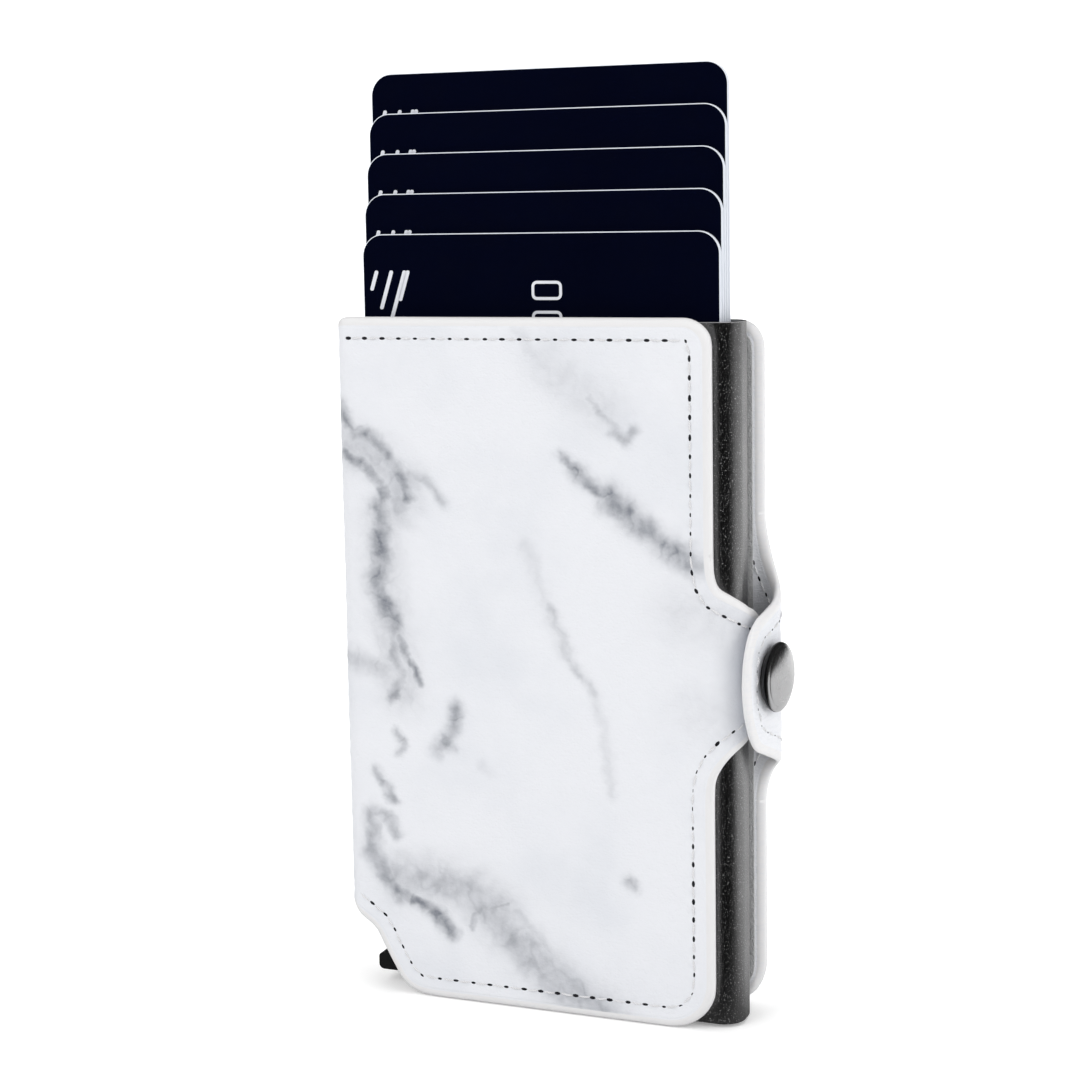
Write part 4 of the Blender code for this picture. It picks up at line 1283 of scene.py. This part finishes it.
def cardMotif(index, low, high):
    points, faces = [], []
    y, thick = low.y + 0.003, cards["printLift"]
    for x, length in motif["bars"]:
        foot = high.z - motif["barFoot"] + 12.0 - length
        slant = motif["barSlant"] * length
        width = motif["barWidth"]
        bar = [(x, foot, 0.25), (x + width, foot, 0.25), (x + width + slant, foot + length, 0.25),
            (x + slant, foot + length, 0.25)]
        thinPlate(points, faces, roundedLine(bar, 4), None, y, thick)
    for x, drop in motif["tiles"]:
        halfX, halfZ = motif["tileHalf"]
        line = motif["tileLine"]

        def tile(shrink, radius):
            left, right = x - halfX + shrink, x + halfX - shrink
            foot, head = high.z - drop - halfZ + shrink, high.z - drop + halfZ - shrink
            return roundedLine([(left, foot, radius), (right, foot, radius), (right, head, radius),
                (left, head, radius)], 5)

        thinPlate(points, faces, tile(0, 0.8), tile(line, 0.4), y, thick)
    made = makePiece(f"cardMotif{index}", points, faces, [cardPrint])
    turnFacesOut(made)
    made.data.set_sharp_from_angle(angle=math.radians(30))
    return made


for index in range(1, cards["count"] + 1):
    card, low, high = cardPiece(index)
    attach(card, f"card_{index}")
    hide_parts(f"card_{index}")
    mark = cardMotif(index, low, high)
    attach(mark, f"card_{index}")
print("cards made")


def bend(made, replaced=()):
    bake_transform(made)
    if replaced:
        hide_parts(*replaced)


bend(front["coverFront"], ("front_panel", "spine"))
bend(front["closingTab"], ("front_tab",))
bend(back["coverBack"], ("back_panel",))
bend(back["closingStrap"], ("strap",))
bend(sewn["stitchesTab"])
bend(sewn["stitchesStrap"])
bend(sewn["stitchesStrapRoot"])

riders = [
    (sewn["stitchesFront"], "front_cover", "marble_leather", ()),
    (sewn["stitchesBack"], "back_cover", "marble_leather", ()),
    (sewn["stitchesFrontInside"], "front_cover", "lining_leather", ()),
    (sewn["stitchesBackInside"], "back_cover", "lining_leather", ()),
    (linedPieces["liningFront"], "front_cover", "lining_leather", ("front_lining",)),
    (linedPieces["liningBack"], "back_cover", "lining_leather", ("back_lining",)),
    (linedPieces["backPocket"], "back_cover", "lining_leather", ("back_pocket",)),
    (snapCap, "strap", "snap_metal", ("snap_cap",)),
    (snapStud, "front_tab", "snap_metal", ("snap_stud",)),
    (caseBody, "case", "case_metal", ("card_case",)),
    (thumbLever, "lever", "black_plastic", ("eject_lever",)),
    (footPlug, "case", "black_plastic", ("end_plug",)),
]
for made, body, slotName, replaced in riders:
    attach(made, body)
    if replaced:
        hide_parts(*replaced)

for node, look in (("pivot_pin", steelPin), ("grip_strip", gripFelt), ("snap_socket", darkSnap),
        ("snap_rivet", darkSnap)):
    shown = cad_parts[node]
    shown.data.materials.clear()
    shown.data.materials.append(look)
print("pieces placed")

stage = {"floor": (0.93, 0.93, 0.93, 1), "reach": 1.6, "wall": 1.1, "bend": 0.5, "world": 0.6,
    "worldGlossy": 0.03, "glossyFar": (0.95, 0.95, 0.95, 1), "glossyNear": (0.02, 0.02, 0.02, 1),
    "glow": 0.24}


def sweepFloor():  # a floor that curves up behind
    profile = [(-stage["reach"], 0.0)]
    for step in range(17):
        angle = halfTurn / 2 * step / 16
        profile.append((stage["reach"] - stage["bend"] + stage["bend"] * math.sin(angle),
            stage["bend"] * (1 - math.cos(angle))))
    profile.append((stage["reach"], stage["wall"]))
    turn = Matrix.Rotation(math.radians(22), 3, "Z")
    points = []
    for y, z in profile:
        points += [turn @ Vector((-2.4, y, z)), turn @ Vector((2.4, y, z))]
    faces = [(2 * i, 2 * i + 1, 2 * i + 3, 2 * i + 2) for i in range(len(profile) - 1)]
    made, desk, shader = startMaterial("paleFloor", 0.7, specular=0.2)
    soft = desk.noise(solidPlace(desk), 0.02, 3.0)
    pale = desk.blendColour(soft, stage["floor"], (0.95, 0.95, 0.95, 1))
    rays = desk.add("ShaderNodeLightPath")
    # Painted reflection: only for reflection rays, the floor's colour is painted bright behind the wallet
    # and dark in front of it and up the wall.
    split = desk.add("ShaderNodeSeparateXYZ")
    desk.feed(split.inputs[0], solidPlace(desk))
    sideways = desk.maths("MULTIPLY_ADD", split.outputs[0], 0.14, split.outputs[1])
    behind = desk.maths("MULTIPLY", desk.ramp(sideways, -15.0, 35.0),
        desk.ramp(split.outputs[2], 20.0, 120.0, 1.0, 0.0))
    seen = desk.blendColour(behind, stage["glossyNear"], stage["glossyFar"])
    desk.feed(shader.inputs["Base Color"], desk.blendColour(rays.outputs["Is Glossy Ray"], pale, seen))
    shader.inputs["Emission Color"].default_value = (1, 1, 1, 1)
    desk.feed(shader.inputs["Emission Strength"],
        desk.ramp(rays.outputs["Is Camera Ray"], 0.0, 1.0, 0.0, stage["glow"]))
    floor = makePiece("floor", points, faces, [made])


sweepFloor()
world = bpy.data.worlds.new("softRoom")
world.use_nodes = True
world.node_tree.nodes["Background"].inputs["Color"].default_value = (1, 1, 1, 1)
room = NodeDesk(world.node_tree)
rays = room.add("ShaderNodeLightPath")
dimmed = room.ramp(rays.outputs["Is Glossy Ray"], 0.0, 1.0, stage["world"], stage["worldGlossy"])
dimmed = room.maths("MAXIMUM", dimmed, rays.outputs["Is Camera Ray"])
room.feed(world.node_tree.nodes["Background"].inputs["Strength"], dimmed)
bpy.context.scene.world = world

lamps = {
    "keyLeft": {"at": (-0.55, -0.75, 0.75), "size": (0.7, 0.9), "power": 5.0},
    "sideRight": {"at": (0.72, -0.12, 0.2), "size": (0.9, 0.8), "power": 3.0},
    "topSoft": {"at": (0.05, 0.1, 1.0), "size": (0.9, 0.9), "power": 2.2},
    "behindWash": {"at": (0.0, 0.75, 0.9), "size": (1.6, 0.8), "power": 14, "aim": (0.3, 1.6, 0.2)},
}
for name, plan in lamps.items():
    data = bpy.data.lights.new(name, "AREA")
    data.shape = "RECTANGLE"
    data.size, data.size_y = plan["size"]
    data.energy = plan["power"]
    lamp = bpy.data.objects.new(name, data)
    lamp.location = plan["at"]
    lamp.visible_glossy = plan.get("mirrored", False)
    aim = Vector(plan.get("aim", (0, 0, 0.06))) - Vector(plan["at"])
    lamp.rotation_euler = aim.to_track_quat("-Z", "Y").to_euler()
    bpy.context.scene.collection.objects.link(lamp)

view = {
    "place": toFrame(113.3167, -281.0699, 115.8335), "yaw": 21.8066, "pitch": 7.2934, "roll": -0.9699,
    "lens": 72.69, "shiftY": -0.05,
}
cameraData = bpy.data.cameras.new("camera")
cameraData.lens = view["lens"]
cameraData.sensor_width = 36
cameraData.shift_y = view["shiftY"]
cameraData.clip_start = 0.01
camera = bpy.data.objects.new("camera", cameraData)
yaw, pitch, roll = (math.radians(view[key]) for key in ("yaw", "pitch", "roll"))
forward = Vector((-math.sin(yaw) * math.cos(pitch), math.cos(yaw) * math.cos(pitch), -math.sin(pitch)))
right = Vector((math.cos(yaw), math.sin(yaw), 0))
up = right.cross(forward)
tiltedRight = right * math.cos(roll) + up * math.sin(roll)
tiltedUp = up * math.cos(roll) - right * math.sin(roll)
camera.matrix_world = Matrix.Translation(view["place"]) @ Matrix((tiltedRight, tiltedUp,
    -forward)).transposed().to_4x4()
bpy.context.scene.collection.objects.link(camera)
bpy.context.scene.camera = camera
bpy.context.scene.view_settings.view_transform = "Standard"
print("stage set")
